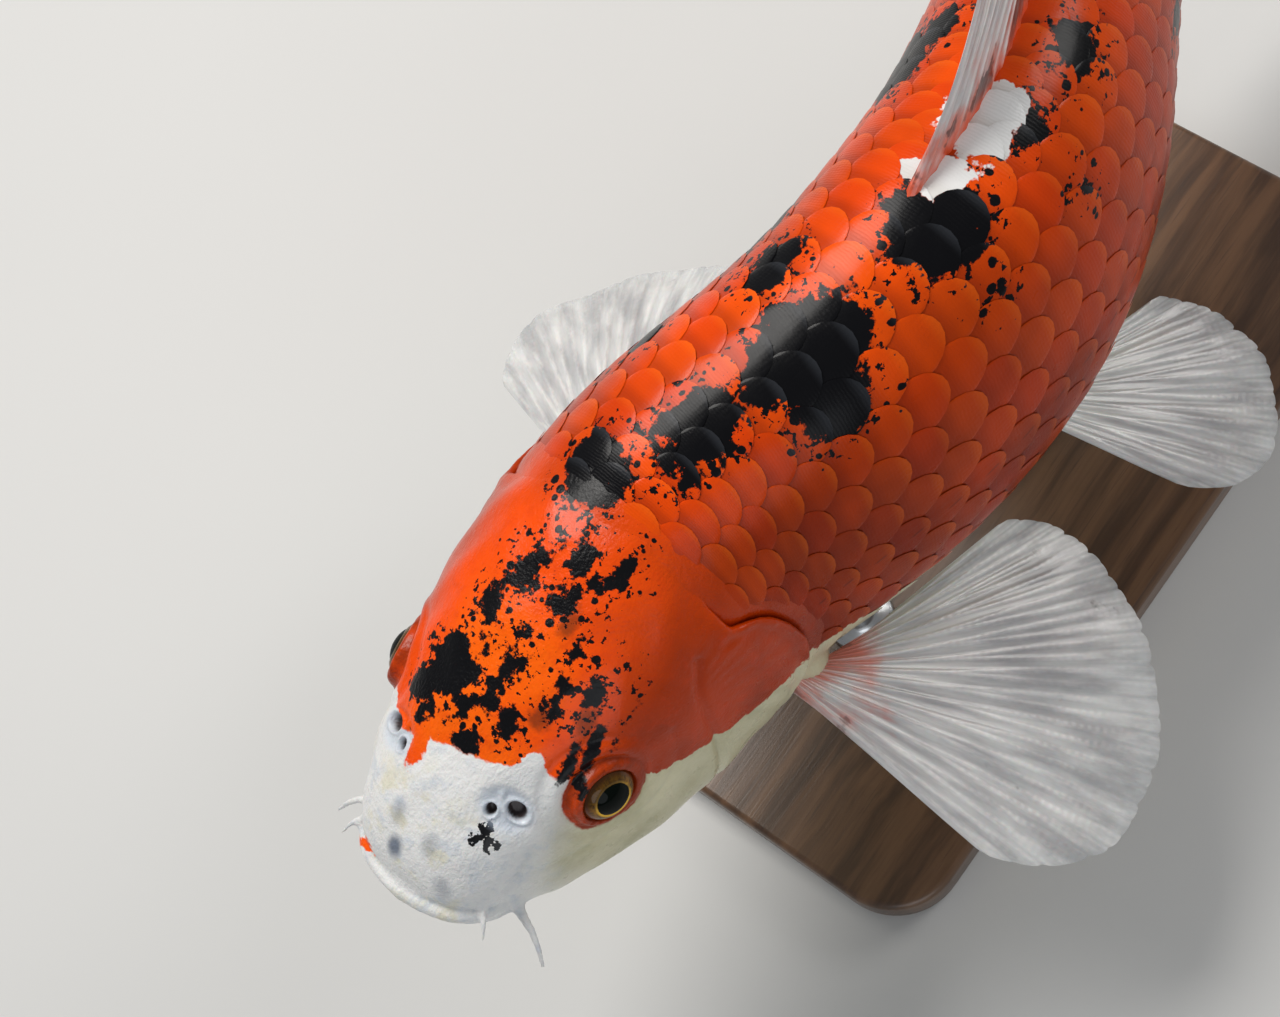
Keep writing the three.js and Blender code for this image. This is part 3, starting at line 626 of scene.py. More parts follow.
def koi_colour(recipe):
    """The fish's markings with painted light and shade, the same for skin and scales: base colour and the
    shares of black and white.
    """
    lie, straight = recipe.label("lie"), recipe.label("straight")
    s, w, out = recipe.split(lie)
    swing, swing_b, _ = recipe.split(recipe.noise(straight, 9, 4, 0.62, colour=True))
    crumb, crumb_b, _ = recipe.split(recipe.noise(straight, 1.7, 3, 0.6, colour=True))
    bare = s.ease(108, 92)
    loose = 1 - bare * 0.55

    # Black patches with a scatter of specks and dots round those on the crown.
    far_black, far_brow, far_brown = recipe.split(recipe.label("dark"))
    near_black = far_black.ease(11, 1.5) * s.ease(30, 38)
    clumps = recipe.noise(straight, 5.2, 5, 0.66)
    black = far_black + (swing - 0.5) * 13 - (clumps - 0.5) * 11 + (crumb - 0.5) * 3
    spots = (recipe.noise(straight, 2.1, 3, 0.6) - 0.5) * near_black
    dotted = recipe.vector("ADD", straight, recipe.join(crumb, crumb_b))
    size = recipe.split(recipe.cells(dotted, 3.4, output=1))[0]
    dots = size * near_black * 0.42 - recipe.cells(dotted, 3.4)
    black = black.ease(0.4, -0.4).most(spots.ease(0.08, 0.1)).most(dots.ease(0.0, 0.04))
    brown = (far_brown + (swing_b - 0.5) * 10).ease(1.2, -1.5) * 0.7

    # Orange cap and flanks, white snout, throat and belly.
    far_white, far_orange, from_eye = recipe.split(recipe.label("light"))
    along = s + ((swing - 0.5) * 12 + (crumb - 0.5) * 3) * loose
    snout_end = recipe.graph(w + (swing_b - 0.5) * 4, SNOUT_END)
    flank_end = recipe.graph(along, FLANK_END)
    edge_wander = (swing_b - 0.5) * 12 + (crumb_b - 0.5) * 3
    white = (snout_end - along).most(out + edge_wander * loose - flank_end)
    cloud = recipe.noise(straight, 26, 3)
    white = white.most(edge_wander + (cloud - 0.5) * 44 - far_white)
    white = white.least(far_orange + (crumb - 0.5) * 3).least(from_eye - EYE_RING + (swing_b - 0.5) * 4)
    white = white.ease(-0.35, 0.35)
    black = black * (1 - white)
    black = black.most((far_brow + (swing_b - 0.5) * 7 + (crumb - 0.5) * 3).ease(0.4, -0.3))

    # A jagged star beside the left nostril.
    arm = recipe.vector("SUBTRACT", lie, STAR)
    arm_s, arm_w, arm_out = recipe.split(arm)
    turn = arm_s.math("ARCTAN2", arm_s, arm_w)
    spikes = (turn * 5 + 0.8).wave() * 0.9 + (turn * 3 + 2.6).wave() * 0.7
    star = recipe.length(recipe.join(arm_s, arm_w * 0.85)) - spikes - 2.4 - (crumb_b - 0.5) * 9
    black = black.most(star.most(arm_out - 40).ease(0.2, -0.2))

    # Painted light and shade: the orange is lighter on the back and the top of the head and darker down the
    # flanks, with a cloudy tone that differs at random.
    tone_and_painted_light = cloud.ease(0.3, 0.7) * 0.35 + out.ease(56, 10) * 0.55 + s.ease(100, 60) * out.ease(44, 22) * 0.4
    orange = recipe.blend(tone_and_painted_light.least(1), FLANK_SHADE_ORANGE, VIVID_ORANGE)
    crown = s.ease(80, 55) * out.ease(26, 8) * cloud.ease(0.35, 0.6)
    orange = recipe.blend(crown * 0.7, orange, GOLDEN_ORANGE)
    orange = recipe.blend(clumps.ease(0.5, 0.68) * bare * 0.35, orange, RUST)
    lid_tint = from_eye.ease(12.6, 11.2) * clumps.ease(0.3, 0.6)
    orange = recipe.blend(lid_tint * 0.75, orange, LID_BROWN)
    orange = recipe.blend(brown, orange, PATCH_BROWN)

    # Painted shade, cream going to olive, on the lower sides of the head; the yellow on top of the snout is
    # its own tone.
    cheek_shade = out.ease(26, 46) * s.ease(12, 36)
    yellow = swing.ease(0.48, 0.64) * out.ease(24, 12) * s.ease(32, 16) * 0.6
    pale = recipe.blend(cheek_shade.most(yellow), PEARL, CREAM)
    olive_shade = cheek_shade * recipe.noise(straight, 17, 4, 0.6).ease(0.3, 0.75) * out.ease(98, 70)
    pale = recipe.blend(olive_shade * 0.72, pale, OLIVE_SHADE)
    blue = clumps.ease(0.48, 0.68) * s.ease(42, 22) * out.ease(52, 36)
    pale = recipe.blend(blue * 0.5, pale, ICE_BLUE)
    far_slate, far_faint, _ = recipe.split(recipe.label("grey"))
    slate = (far_slate + crumb - 0.5).ease(1.2, -1.4).most((far_faint + crumb_b - 0.5).ease(1.5, -1.8) * 0.5)
    pale = recipe.blend(slate * 0.9, pale, SLATE)
    return recipe.blend(black, recipe.blend(white, orange, pale), INK), black, white


def skin_material():
    recipe = Recipe("koi_skin", Specular_IOR_Level=0.12, Coat_Roughness=0.16, Subsurface_Weight=0.04,
                    Subsurface_Scale=0.003)
    colour, black, white = koi_colour(recipe)
    straight = recipe.label("straight")
    depth, nose, on_snout = recipe.split(recipe.label("hollow"))
    # Painted shade: blue in the basin round the nostrils on white skin, dark brown in the nostrils, the
    # mouth's slit and the wall round the eye.
    shade = recipe.blend(nose * white * 0.5, colour, NOSTRIL_SHADE_BLUE)
    shade = recipe.blend(depth.ease(0.1, 0.8) * 0.93, shade, HOLLOW_SHADE_BROWN)
    recipe.feed(Base_Color=shade, Coat_Weight=0.17 + white * 0.23 - black * 0.03)
    pores = recipe.cells(straight, 0.9, "SMOOTH_F1")
    strokes = recipe.noise(recipe.vector("MULTIPLY", straight, (1.1, 0.42, 1.1)), 1.3, 4, 0.6)
    grain = recipe.noise(straight, 2.6, 3) * 0.5 + recipe.noise(straight, 0.5, 2) * 0.25 - pores * 0.25
    grain = grain + strokes * (on_snout * 1.1 + 0.35)
    recipe.feed(Roughness=recipe.noise(straight, 5, 2) * 0.2 + 0.2)
    recipe.bumped(grain, 0.00045, 0.7)
    return recipe.material


def scale_material():
    recipe = Recipe("koi_scales", Specular_IOR_Level=0.07, Coat_Roughness=0.18)
    colour, black, white = koi_colour(recipe)
    straight = recipe.label("straight")
    a, b, luck = recipe.split(recipe.label("scale"))
    chance = luck.math("FRACT", luck)
    # Painted light: the rim is lighter, a painted highlight, and the root darker, painted shade where the
    # scale in front lies over it; they also draw the net between the scales.
    rim = a.ease(0.72, 1.02)
    root = a.ease(0.5, 0.15)
    tint = recipe.node("HueSaturation", {}, {
        "Hue": chance * 0.004 + 0.498, "Saturation": 1.0, "Value": chance * 0.1 + 0.95, "Color": colour,
    })
    red = (1 - black) * (1 - white)
    net_and_painted_light = recipe.blend(rim * 0.22 * red, tint, RIM_HIGHLIGHT_ORANGE)
    net_and_painted_light = recipe.blend(rim * black * 0.2, net_and_painted_light, RIM_HIGHLIGHT_GREY)
    net_and_painted_light = recipe.blend(root * 0.4 * red, net_and_painted_light, ROOT_SHADE_RED)
    net_and_painted_light = recipe.blend(root * white * (1 - black) * 0.25, net_and_painted_light, ROOT_SHADE_TAN)
    pore = (1 - (abs(b) * 12).least(1)) * luck.ease(1.4, 1.6) * a.ease(0.45, 0.6) * a.ease(0.85, 0.75)
    net_and_painted_light = recipe.blend(pore * 0.6, net_and_painted_light, PORE_BROWN)
    low = recipe.split(recipe.label("lie"))[2].ease(35, 75)
    recipe.feed(Base_Color=net_and_painted_light, Coat_Weight=0.16 + white * 0.19 - low * red * 0.12)
    rings = (a * 85 + recipe.noise(straight, 3, 2) * 9).wave() * 0.2
    rays = (b * 34 + chance * 9).wave() * a.ease(0.2, 0.9) * 0.12
    grain = rings + rays + recipe.noise(straight, 0.9, 3)
    recipe.feed(Roughness=recipe.noise(straight, 4, 2) * 0.25 + 0.2)
    recipe.bumped(grain, 0.00012, 0.5)
    return recipe.material


def fin_material(name, blush, blush_reach, soot, root_colour):
    """White rayed fin with a blush of orange, a little black and the body's colour at its root."""
    recipe = Recipe(name, Roughness=0.35, Coat_Weight=0.6, Coat_Roughness=0.15, Subsurface_Weight=0.1,
                    Subsurface_Scale=0.004)
    phase, reach, along = recipe.split(recipe.label("ray"))
    straight = recipe.label("straight")
    ray = recipe.split(recipe.label("ridge"))[0]
    streak_place = recipe.join(phase * 1.3, reach * 0.035)
    streak = recipe.noise(streak_place, 1.0, 4, 0.6)
    white = recipe.blend(streak.ease(0.3, 0.66), FIN_GREY, FIN_WHITE)
    white = recipe.blend(ray * 0.5, recipe.blend(0.5, white, FIN_WEB), white)
    cloud = recipe.noise(straight, 16, 3)
    near = (reach + (cloud - 0.5) * 60 + (streak - 0.5) * 40).ease(blush_reach, blush_reach * 0.3)
    colour = recipe.blend(near * blush, white, FIN_BLUSH)
    ink = (recipe.noise(straight, 12, 4, 0.6) - 0.5) * 3 + near * soot
    colour = recipe.blend(ink.ease(0.55, 0.8) * soot * reach.ease(3, 9), colour, INK)
    colour = recipe.blend((reach + (cloud - 0.5) * 14).ease(11, 2), colour, root_colour)
    recipe.feed(Base_Color=colour)
    joints = (reach * 2.6 + phase).wave() * ray * 0.3
    clear = (ray * 0.3 + 0.78 - along.ease(0.5, 1.05) * 0.22 + reach.ease(16, 4) * 0.4).least(1)
    recipe.feed(Alpha=clear * (1 - along.ease(0.97, 1.0) * 0.25))
    recipe.bumped(ray * 0.6 + joints + recipe.noise(streak_place, 0.5, 3) * 0.5, 0.0003, 0.6)
    return recipe.material


def eye_material():
    recipe = Recipe("koi_eye", Specular_IOR_Level=0.0, Coat_Roughness=0.03, Coat_IOR=1.4)
    gaze = recipe.label("gaze")
    x, y, _ = recipe.split(gaze)
    radius = recipe.length(recipe.join(x, y))
    flecks = recipe.noise(gaze, 1.3, 4, 0.65)
    spokes = recipe.noise(recipe.vector("NORMALIZE", recipe.join(x, y)), 0.07, 3, 0.6)
    gold = recipe.blend(flecks.ease(0.35, 0.65), IRIS_BROWN, IRIS_AMBER)
    gold = recipe.blend(spokes.ease(0.45, 0.75) * 0.5, gold, IRIS_SPOKE)
    # The gold ring round the pupil is the eye's own; it is painted brighter on its lower side, a painted
    # highlight.
    below = (y + x * 0.4).ease(1.5, -3.5)
    rim = radius.ease(5.5, 4.9) * (below * 0.75 + 0.25)
    gold = recipe.blend(rim, gold, IRIS_GOLD)
    outer = (radius + (flecks - 0.5) * 2).ease(5.9, 7.0)
    gold = recipe.blend(outer, gold, IRIS_EDGE)
    # Painted shade on the upper part of the iris, under the lid.
    gold = recipe.blend((y + (flecks - 0.5) * 3).ease(1.0, 4.5) * 0.7, gold, IRIS_SHADE)
    pupil = (radius + (flecks - 0.5) * 0.25).ease(4.72, 4.58)
    recipe.feed(Base_Color=recipe.blend(pupil, gold, PUPIL))
    recipe.feed(Metallic=(1 - pupil) * 0.35, Roughness=(1 - pupil) * 0.25 + 0.3)
    recipe.feed(Coat_Weight=0.75 - pupil * 0.5)
    recipe.bumped(flecks + spokes * 0.6, 0.00015, 0.5)
    return recipe.material


def object_place(recipe):
    """Object coordinates in millimetres."""
    return recipe.vector("MULTIPLY", recipe.node("TexCoord", output=3), (1000, 1000, 1000))


def wood_material():
    recipe = Recipe("plinth_wood", Roughness=0.35, Coat_Weight=0.35, Coat_Roughness=0.25)
    place = object_place(recipe)
    warp = recipe.noise(place, 70, 3, colour=True)
    grain_place = recipe.vector("ADD", recipe.vector("MULTIPLY", place, (1, 0.07, 1)),
                                recipe.vector("MULTIPLY", warp, (9, 9, 9)))
    band = recipe.noise(grain_place, 9, 4, 0.6)
    fibre = recipe.noise(recipe.vector("MULTIPLY", place, (1, 0.03, 1)), 0.8, 3, 0.6)
    colour = recipe.blend(band.ease(0.35, 0.65), (0.055, 0.026, 0.012, 1), (0.15, 0.075, 0.035, 1))
    colour = recipe.blend(fibre.ease(0.55, 0.75) * 0.5, colour, (0.03, 0.014, 0.008, 1))
    recipe.feed(Base_Color=colour, Roughness=fibre * 0.2 + 0.28)
    recipe.bumped(fibre + band, 0.0002, 0.35)
    return recipe.material


def steel_material():
    recipe = Recipe("rod_steel", Metallic=1.0, Roughness=0.28)
    place = object_place(recipe)
    brushed = recipe.noise(recipe.vector("MULTIPLY", place, (0.1, 0.1, 1)), 0.5, 3)
    shade = recipe.blend(brushed, (0.50, 0.51, 0.52, 1), (0.68, 0.69, 0.70, 1))
    recipe.feed(Base_Color=shade, Roughness=brushed * 0.2 + 0.2)
    recipe.bumped(brushed, 0.00005, 0.4)
    return recipe.material


# ---- skin --------------------------------------------------------------------------------------
HEAD_VOXEL = 0.86
TRUNK_VOXEL = 2.4
COAT_DEPTH = 1.0  # the skin lies this far inside the tips of the scales
COVER_THICKNESS = 1.7

MOUTH_BACK = 15
# Lips: s of the foremost point, how far below the mouth's line, and radius.
UPPER_LIP = (-0.6, -1.5, 2.9)
LOWER_LIP = (1.4, 3.0, 3.0)
CORNER_FEELER = [(18, 17, -6.5), (24, 13.5, -9), (31, 10, -13), (36, 5.5, -19.5)]
LIP_FEELER = [(13, 12, 0.5), (19, 8, 0.5), (22.5, 4.5, -1), (24, 1, -4)]

# Middle of each left paired fin's root: x, s and z.
PECTORAL_BASE = (38.8, 117, -31)
PELVIC_BASE = (16.5, 214, -47)
TRUNK_START = 58  # the trunk's skin begins here, inside the head


def skin_half_width(s, z):
    """Half the width of the body at s and at the level z."""
    level = mix(belly_line(s), back_line(s), widest_share(s))
    reach = np.where(z > level, back_line(s) - level, level - belly_line(s))
    power = np.where(z > level, square_above(s), square_below(s))
    share = np.minimum(np.abs(z - level) / reach, 0.98)
    return half_width(s) * (1 - share**power) ** (1 / power)


def mouth_line(front, below, stand_out=0.0, count=61):
    """A line along the mouth's edge from the left corner round the front to the right one."""
    left = []
    for share in (1, 0.62, 0.32, 0.12):
        s = mix(max(front, 0), MOUTH_BACK, share)
        z = -2.5 - 6 * (s / MOUTH_BACK) ** 1.2 - below
        left.append((skin_half_width(s, z) - 0.5 - 2.5 * share**3 + stand_out, s - 0.3 * stand_out, z))
    middle = (0, front - stand_out, -2.5 - below)
    right = [(-x, s, z) for x, s, z in reversed(left)]
    return spline([*left, middle, *right], count)


def under_cover(s, share):
    """1 where the head's shell lies over the trunk's, in front of the gill cover's rear edge."""
    return ease(0.16, 0.28, share) * ease(3, -1.5, s - gill_rear(share))


def shoulder(s, share):
    """1 on the smooth band of skin that follows the rear edge of the gill cover."""
    behind = s - gill_rear(share)
    return ease(0.16, 0.28, share) * ease(-2, 2.5, behind) * ease(11, 5, behind)


def head_shell(work):
    """The head from the snout to the gill covers' rear edge, turned in there and closed deep inside."""
    middle = np.array([0, 58, 4.0])

    def place(u, v):
        turn = 2 * u - 1
        share = np.abs(turn)
        end = gill_rear(share)
        forward = np.clip((v - 0.02) / 0.86, 0, 1)
        back_in = ease(0.91, 0.97, v)
        s = end * forward**1.4 - 15 * back_in
        nape = ease(0.3, 0.21, share)
        swell = 0.9 * ease(72, 104, s) * ease(0.23, 0.36, share) * ease(1.0, 0.85, share)
        dip = -1.4 * nape * ease(-10, 1, s - end)
        inset = COVER_THICKNESS * ease(0.88, 0.905, v) + 4 * back_in
        point = on_body(s, turn * half_girth(s) * (1 - 1e-6), swell + dip - inset)
        point = mix(point, middle, ease(0.985, 1, v)[:, None])
        return mix(np.array([0, -0.8, -1.6]), point, np.clip(v / 0.02, 0, 1)[:, None])

    sheet(work, 300, 190, place)


FEELER_STOPS = 24
EYE_RIM_STEPS = 48


def feeler(work, points, radius, side):
    """A tapering feeler with a flared root."""
    path = spline([(side * x, s, z) for x, s, z in points], FEELER_STOPS)
    taper = radius * mix(1, 0.36, np.linspace(0, 1, FEELER_STOPS) ** 0.8)
    flare = 1 + 0.5 * np.exp(-np.linspace(0, 9, FEELER_STOPS))
    tube(work, path, taper * flare, 14)


def lid(rise):
    """How far the brow's lid comes over the eye: rise is 1 above the eye and -1 below it."""
    return ease(-0.7, 0.95, rise)


def eye_rim(work, side):
    """The ring of skin round the eye. At the top it is thicker and comes further over, as the brow's lid."""
    axis = EYE_AXIS * (side, 1, 1)
    across = unit(np.cross(axis, (0, 0, 1)))
    above = np.cross(across, axis)
    turn = np.linspace(0, 2 * math.pi, EYE_RIM_STEPS + 1)[:, None]
    over = lid(np.sin(turn))
    out = across * np.cos(turn) + above * np.sin(turn)
    ring = EYE * (side, 1, 1) + axis * (3.3 + 0.7 * over) + out * (8.9 - 0.35 * over)
    thick = 1.0 + 0.5 * over

    def place(u, v):
        k = np.round(v * EYE_RIM_STEPS).astype(int)
        part = 2 * math.pi * u[:, None]
        return ring[k] + thick[k] * (out[k] * np.cos(part) + axis * np.sin(part))

    sheet(work, 14, EYE_RIM_STEPS, place)


LINE_STOPS = 140  # points along a fold of the head
SLIT_STOPS = 301  # points along the mouth
SHELL_DEPTH = 5.2  # how much of the head's shell is kept under its surface


def distance(points, path):
    """Distance of each point from the nearest point of a path."""
    nearest = np.full(len(points), np.inf)
    for stop in path:
        nearest = np.minimum(nearest, ((points - stop) ** 2).sum(1))
    return np.sqrt(nearest)


def surface_line(points):
    """A line on the body through (s, z) points of its left side."""
    s, z = spline(points, LINE_STOPS).T
    return np.stack([skin_half_width(s, z), s, z], -1)


def groove(points, path, depth, width):
    return -depth * bell(distance(points, path), width)


def capped(mesh):
    """The head's shell without its deep inside, closed by a cone of faces."""
    points = corners(mesh)
    s, w = place_on_body(points)
    depth = ((on_body(s, w) - points) * outward(s, w)).sum(1)
    work = bmesh.new()
    work.from_mesh(mesh)
    deep = [vertex for vertex, below in zip(work.verts, depth) if below > SHELL_DEPTH]
    bmesh.ops.delete(work, geom=deep, context="VERTS")
    cap = bmesh.ops.holes_fill(work, edges=work.edges, sides=0)["faces"]
    bmesh.ops.poke(work, faces=cap)
    return mesh_of(work, "head_form")


def refined(mesh, places):
    """Splits the faces of both sides that lie near a few (path, reach) places into four."""
    points = corners(mesh)
    points = points * side_of(points)
    near = np.zeros(len(points), bool)
    for path, reach in places:
        near |= distance(points, path) < reach
    work = bmesh.new()
    work.from_mesh(mesh)
    edges = [edge for edge in work.edges if near[edge.verts[0].index] and near[edge.verts[1].index]]
    bmesh.ops.subdivide_edges(work, edges=edges, cuts=1, use_grid_fill=True)
    return mesh_of(work, "head_form")


NOSTRILS = [
    (np.array([14.9, 25.7, 24.5]), np.array([1.65, 1.75, 2.4]), 2.8),
    (np.array([20.6, 29.4, 23.2]), np.array([3.0, 2.3, 3.4]), 3.2),
]
NOSTRIL_FLAP = [(15.6, 30.6, 26.6), (17.2, 27.6, 24.6), (19.4, 25.2, 22.3), (21.8, 23.4, 19.8)]


def carve_head(mesh):
    """Moves the head's corners in and out along their normals to carve folds, lips and openings."""
    points, out = corners(mesh), normals(mesh)
    side = side_of(points)
    mirrored = points * side
    x, s, z = mirrored.T
    near_s, w = place_on_body(mirrored)
    outer = ease(-3.2, -1.2, ((mirrored - on_body(near_s, w)) * outward(near_s, w)).sum(1))
    height = np.zeros(len(points))

    # Mouth: the slit between the lips, a fold above the upper lip and one under the lower.
    for front, below, stand_out, depth, width in (
        (-0.6, 0.75, 1.4, 2.3, 0.8), (-0.6, -4.9, 0.8, 0.75, 0.9), (2.4, 6.2, 0.6, 0.7, 0.9),
    ):
        height += groove(mirrored, mouth_line(front, below, stand_out, SLIT_STOPS), depth, width)
    corner = [(21.0, 16, -8.5), (25.0, 20, -12), (27.5, 26, -15)]
    height += groove(mirrored, spline(corner, 20), 0.8, 1.1)
    # Chin: the edges of the lower jaw, running back to meet at the throat.
    for stops, depth, width in (
        ([(19, 0.68), (27, 0.735), (37, 0.80), (48, 0.87), (58, 0.94)], 1.1, 1.2),
        ([(34, 0.68), (44, 0.73), (55, 0.79), (64, 0.86)], 0.6, 1.1),
    ):
        at, part = spline(stops, LINE_STOPS).T
        height += groove(mirrored, on_body(at, part * half_girth(at)), depth, width) * outer
    # Cheek: the folds behind the jaw, under the eye and along the front of the gill plate.
    for stops, depth, width, where in (
        (CHEEK_EDGE, 1.05, 1.3, outer),
        ([(22, 6), (32, 2), (44, -1), (58, 1), (66, 9), (68, 18)], 0.5, 1.3, 1),
        ([(24, -16), (36, -19), (50, -22), (64, -30)], 0.7, 1.4, 1),
        ([(82, -37), (92, -31), (102, -23), (109, -12)], 0.55, 1.0, outer),
    ):
        height += groove(mirrored, surface_line(stops), depth, width) * where
    # The groove along the middle of the throat.
    throat = bell(x, 2.2) * ease(-20, -30, z) * ease(20, 34, s)
    height -= 0.9 * throat
    # Gill plate: faint fan of ridges from its upper front corner and a proud rear edge.
    fan = np.arctan2(20 - z, s - 70)
    on_plate = ease(80, 88, s) * outer * ease(34, 26, z)
    height += 0.10 * np.sin(fan * 34) * on_plate
    share = w / half_girth(near_s)
    edge = gill_rear(share) - s
    on_side = ease(0.23, 0.34, share) * outer
    low = ease(0.66, 0.76, share) * ease(2, 4, edge) * ease(17, 12, edge) * outer
    height += 0.32 * np.sin(edge * 1.3) * low  # the rays of the gill membrane
    height += (0.4 * bell(edge - 1.6, 1.6) - 0.35 * bell(edge - 6, 2.4)) * on_side
    # Brow, and the folds round the eye.
    rel = mirrored - EYE
    along = rel @ EYE_AXIS
    off_axis = rel - along[:, None] * EYE_AXIS
    radius = np.linalg.norm(off_axis, axis=1)
    front = along > -4
    rise = off_axis[:, 2] / np.maximum(radius, 1e-6)
    upper = ease(-0.35, 0.5, rise)
    height -= 0.6 * bell(radius - 10.9, 0.8) * front
    height += 0.55 * bell(radius - 13.6, 1.7) * front * upper
    height -= 0.55 * bell(radius - 16.6, 1.3) * front * upper * ease(62, 50, s)
    height -= 0.5 * bell(radius - 13.4, 1.8) * front * (1 - upper)
    # Nostrils in a shallow hollow: a small front hole and a large rear one with a flap between them.
    nose = np.linalg.norm((mirrored - np.array([18.2, 28.4, 23.8])) / (7.6, 5.6, 6.5), axis=1)
    height -= 0.95 * ease(1.15, 0.6, nose)
    height += bell(distance(mirrored, spline(NOSTRIL_FLAP, 30)), 0.75) * ease(1.1, 0.7, nose)
    pits = np.zeros(len(points))
    for centre, across, deep in NOSTRILS:
        gap = np.linalg.norm((mirrored - centre) / across, axis=1)
        pits += deep * ease(1.0, 0.72, gap)
        height += 0.6 * bell(gap - 1.2, 0.17)
    # Snout: the fold from below the nostrils to the mouth's corner, and low bumps either side of the middle.
    snout_fold = surface_line([(24, 12), (17, 7.5), (12, 2), (12, -3)])
    height += groove(mirrored, snout_fold, 0.7, 1.8)
    height += 0.35 * np.exp(-(((x - 7) / 4.5) ** 2 + ((s - 14) / 7) ** 2)) * ease(8, 14, z)
    unevenness = 0.3 * np.sin(s * 0.31 + 1.3 * np.sin(x * 0.23)) * np.sin(x * 0.27 + 0.7)
    height += unevenness * outer * ease(4, 14, s)
    moved = points + out * (height - pits)[:, None]

    # The opening for the eye, with its wall going in behind the eyeball's front.
    opening = EYE_OPENING - 0.9 * lid(rise)
    sink = ease(opening + 0.1, opening - 0.7, radius) * (along > -3) * np.maximum(along + 1.5, 0)
    moved -= side * EYE_AXIS * sink[:, None]
    set_corners(mesh, moved)
    # How dark to paint the hollows: painted shade in the nostrils, on the wall round the eye and along the
    # mouth's slit; and the basin round the nostrils, which takes a blue painted shade.
    slit = distance(mirrored, mouth_line(-0.6, 0.75, 1.0, SLIT_STOPS))
    hollow = np.clip(pits / 2.2, 0, 1) + ease(1.0, 4.0, sink)
    return np.maximum(hollow, 0.8 * bell(slit, 0.8)), ease(1.25, 0.75, nose)


def trunk_shell(work):
    """The trunk and tail stalk, inside the coat of scales and closed at both ends."""
    middle = np.array([0, 92, 6.0])

    def place(u, v):
        turn = 2 * u - 1
        share = np.abs(turn)
        s = TRUNK_START + (BODY_LENGTH + 1 - TRUNK_START) * np.clip(v / 0.97, 0, 1)
        deep = COAT_DEPTH + 1.4 * under_cover(s, share) - 0.8 * shoulder(s, share)
        point = on_body(s, turn * half_girth(s) * (1 - 1e-6), -deep)
        end = np.stack([0 * s, 0 * s + BODY_LENGTH + 2.5, point[:, 2] * 0.8 + 1], -1)
        point = mix(point, end, (ease(0.972, 1, v) ** 2)[:, None])
        return mix(middle, point, np.clip(v / 0.01, 0, 1)[:, None])

    sheet(work, 150, 218, place)


def fleshy_base(work, centre, along, reach, side):
    """A smooth lobe of flesh that a paired fin grows from."""
    lobe = bmesh.ops.create_icosphere(work, subdivisions=4, radius=1)["verts"]
    across = unit(np.cross(along, (side, 0, 0)))
    axes = np.array([reach[0] * np.array(along), reach[1] * np.array([side, 0, 0]), reach[2] * across])
    for vertex in lobe:
        vertex.co = np.array(centre) + np.array(vertex.co) @ axes


def make_skin(material):
    """One piece of two closed shells: the head with its gill covers, and the trunk inside its rear edge."""
    head = bmesh.new()
    head_shell(head)
    for front, below, radius in (UPPER_LIP, LOWER_LIP):
        path = mouth_line(front, below)
        tube(head, path, radius * mix(0.75, 1, np.sin(np.linspace(0, math.pi, 61)) ** 0.5), 16)
    for side in (1, -1):
        eye_rim(head, side)
        feeler(head, CORNER_FEELER, 2.3, side)
        feeler(head, LIP_FEELER, 1.9, side)
    close(head)
    head_mesh = remeshed(mesh_of(head, "head_form"), HEAD_VOXEL)
    relax(head_mesh, 4, 0.5)
    head_mesh = capped(head_mesh)
    lips = mouth_line(-0.6, 1.0, 1.0)
    (front_nostril, *_), (rear_nostril, *_) = NOSTRILS
    head_mesh = refined(head_mesh, [
        ([EYE + 4 * EYE_AXIS], 13.5), ([front_nostril], 5), ([rear_nostril], 6), (lips[:31], 4.6),
    ])
    relax(head_mesh, 1, 0.5)
    hollow, nose = carve_head(head_mesh)
    relax(head_mesh, 1, 0.3)

    trunk = bmesh.new()
    trunk_shell(trunk)
    for side in (1, -1):
        x, s, z = PECTORAL_BASE
        lean = unit(np.array([0.1 * side, 0.8, -0.6]))
        fleshy_base(trunk, (side * (x - 1.5), s, z), lean, (13.2, 6.0, 5.4), side)
        x, s, z = PELVIC_BASE
        fleshy_base(trunk, (side * x, s, z + 1.5), lean, (11.4, 5.0, 4.8), side)
    close(trunk)
    trunk_mesh = remeshed(mesh_of(trunk, "trunk_form"), TRUNK_VOXEL)
    relax(trunk_mesh, 3, 0.5)

    work = bmesh.new()
    work.from_mesh(head_mesh)
    work.from_mesh(trunk_mesh)
    hollow, nose = (np.pad(field, (0, len(trunk_mesh.vertices))) for field in (hollow, nose))
    mesh = mesh_of(work, "skin")
    straight = corners(mesh)
    s, w = place_on_body(straight)
    label_body(mesh, s, w, straight)
    # The painted shade of the hollows, the basin round the nostrils for its blue painted shade, and the
    # snout, whose skin strokes are bumped.
    label(mesh, "hollow", [hollow, nose, ease(52, 34, s)])
    set_corners(mesh, posed(straight))
    flesh = ["head", "lower_jaw", "gill_cover_left", "gill_cover_right", "trunk", "tail_stalk",
             "feeler_corner_left", "feeler_corner_right", "feeler_lip_left", "feeler_lip_right"]
    finished(mesh, "skin", material, flesh)


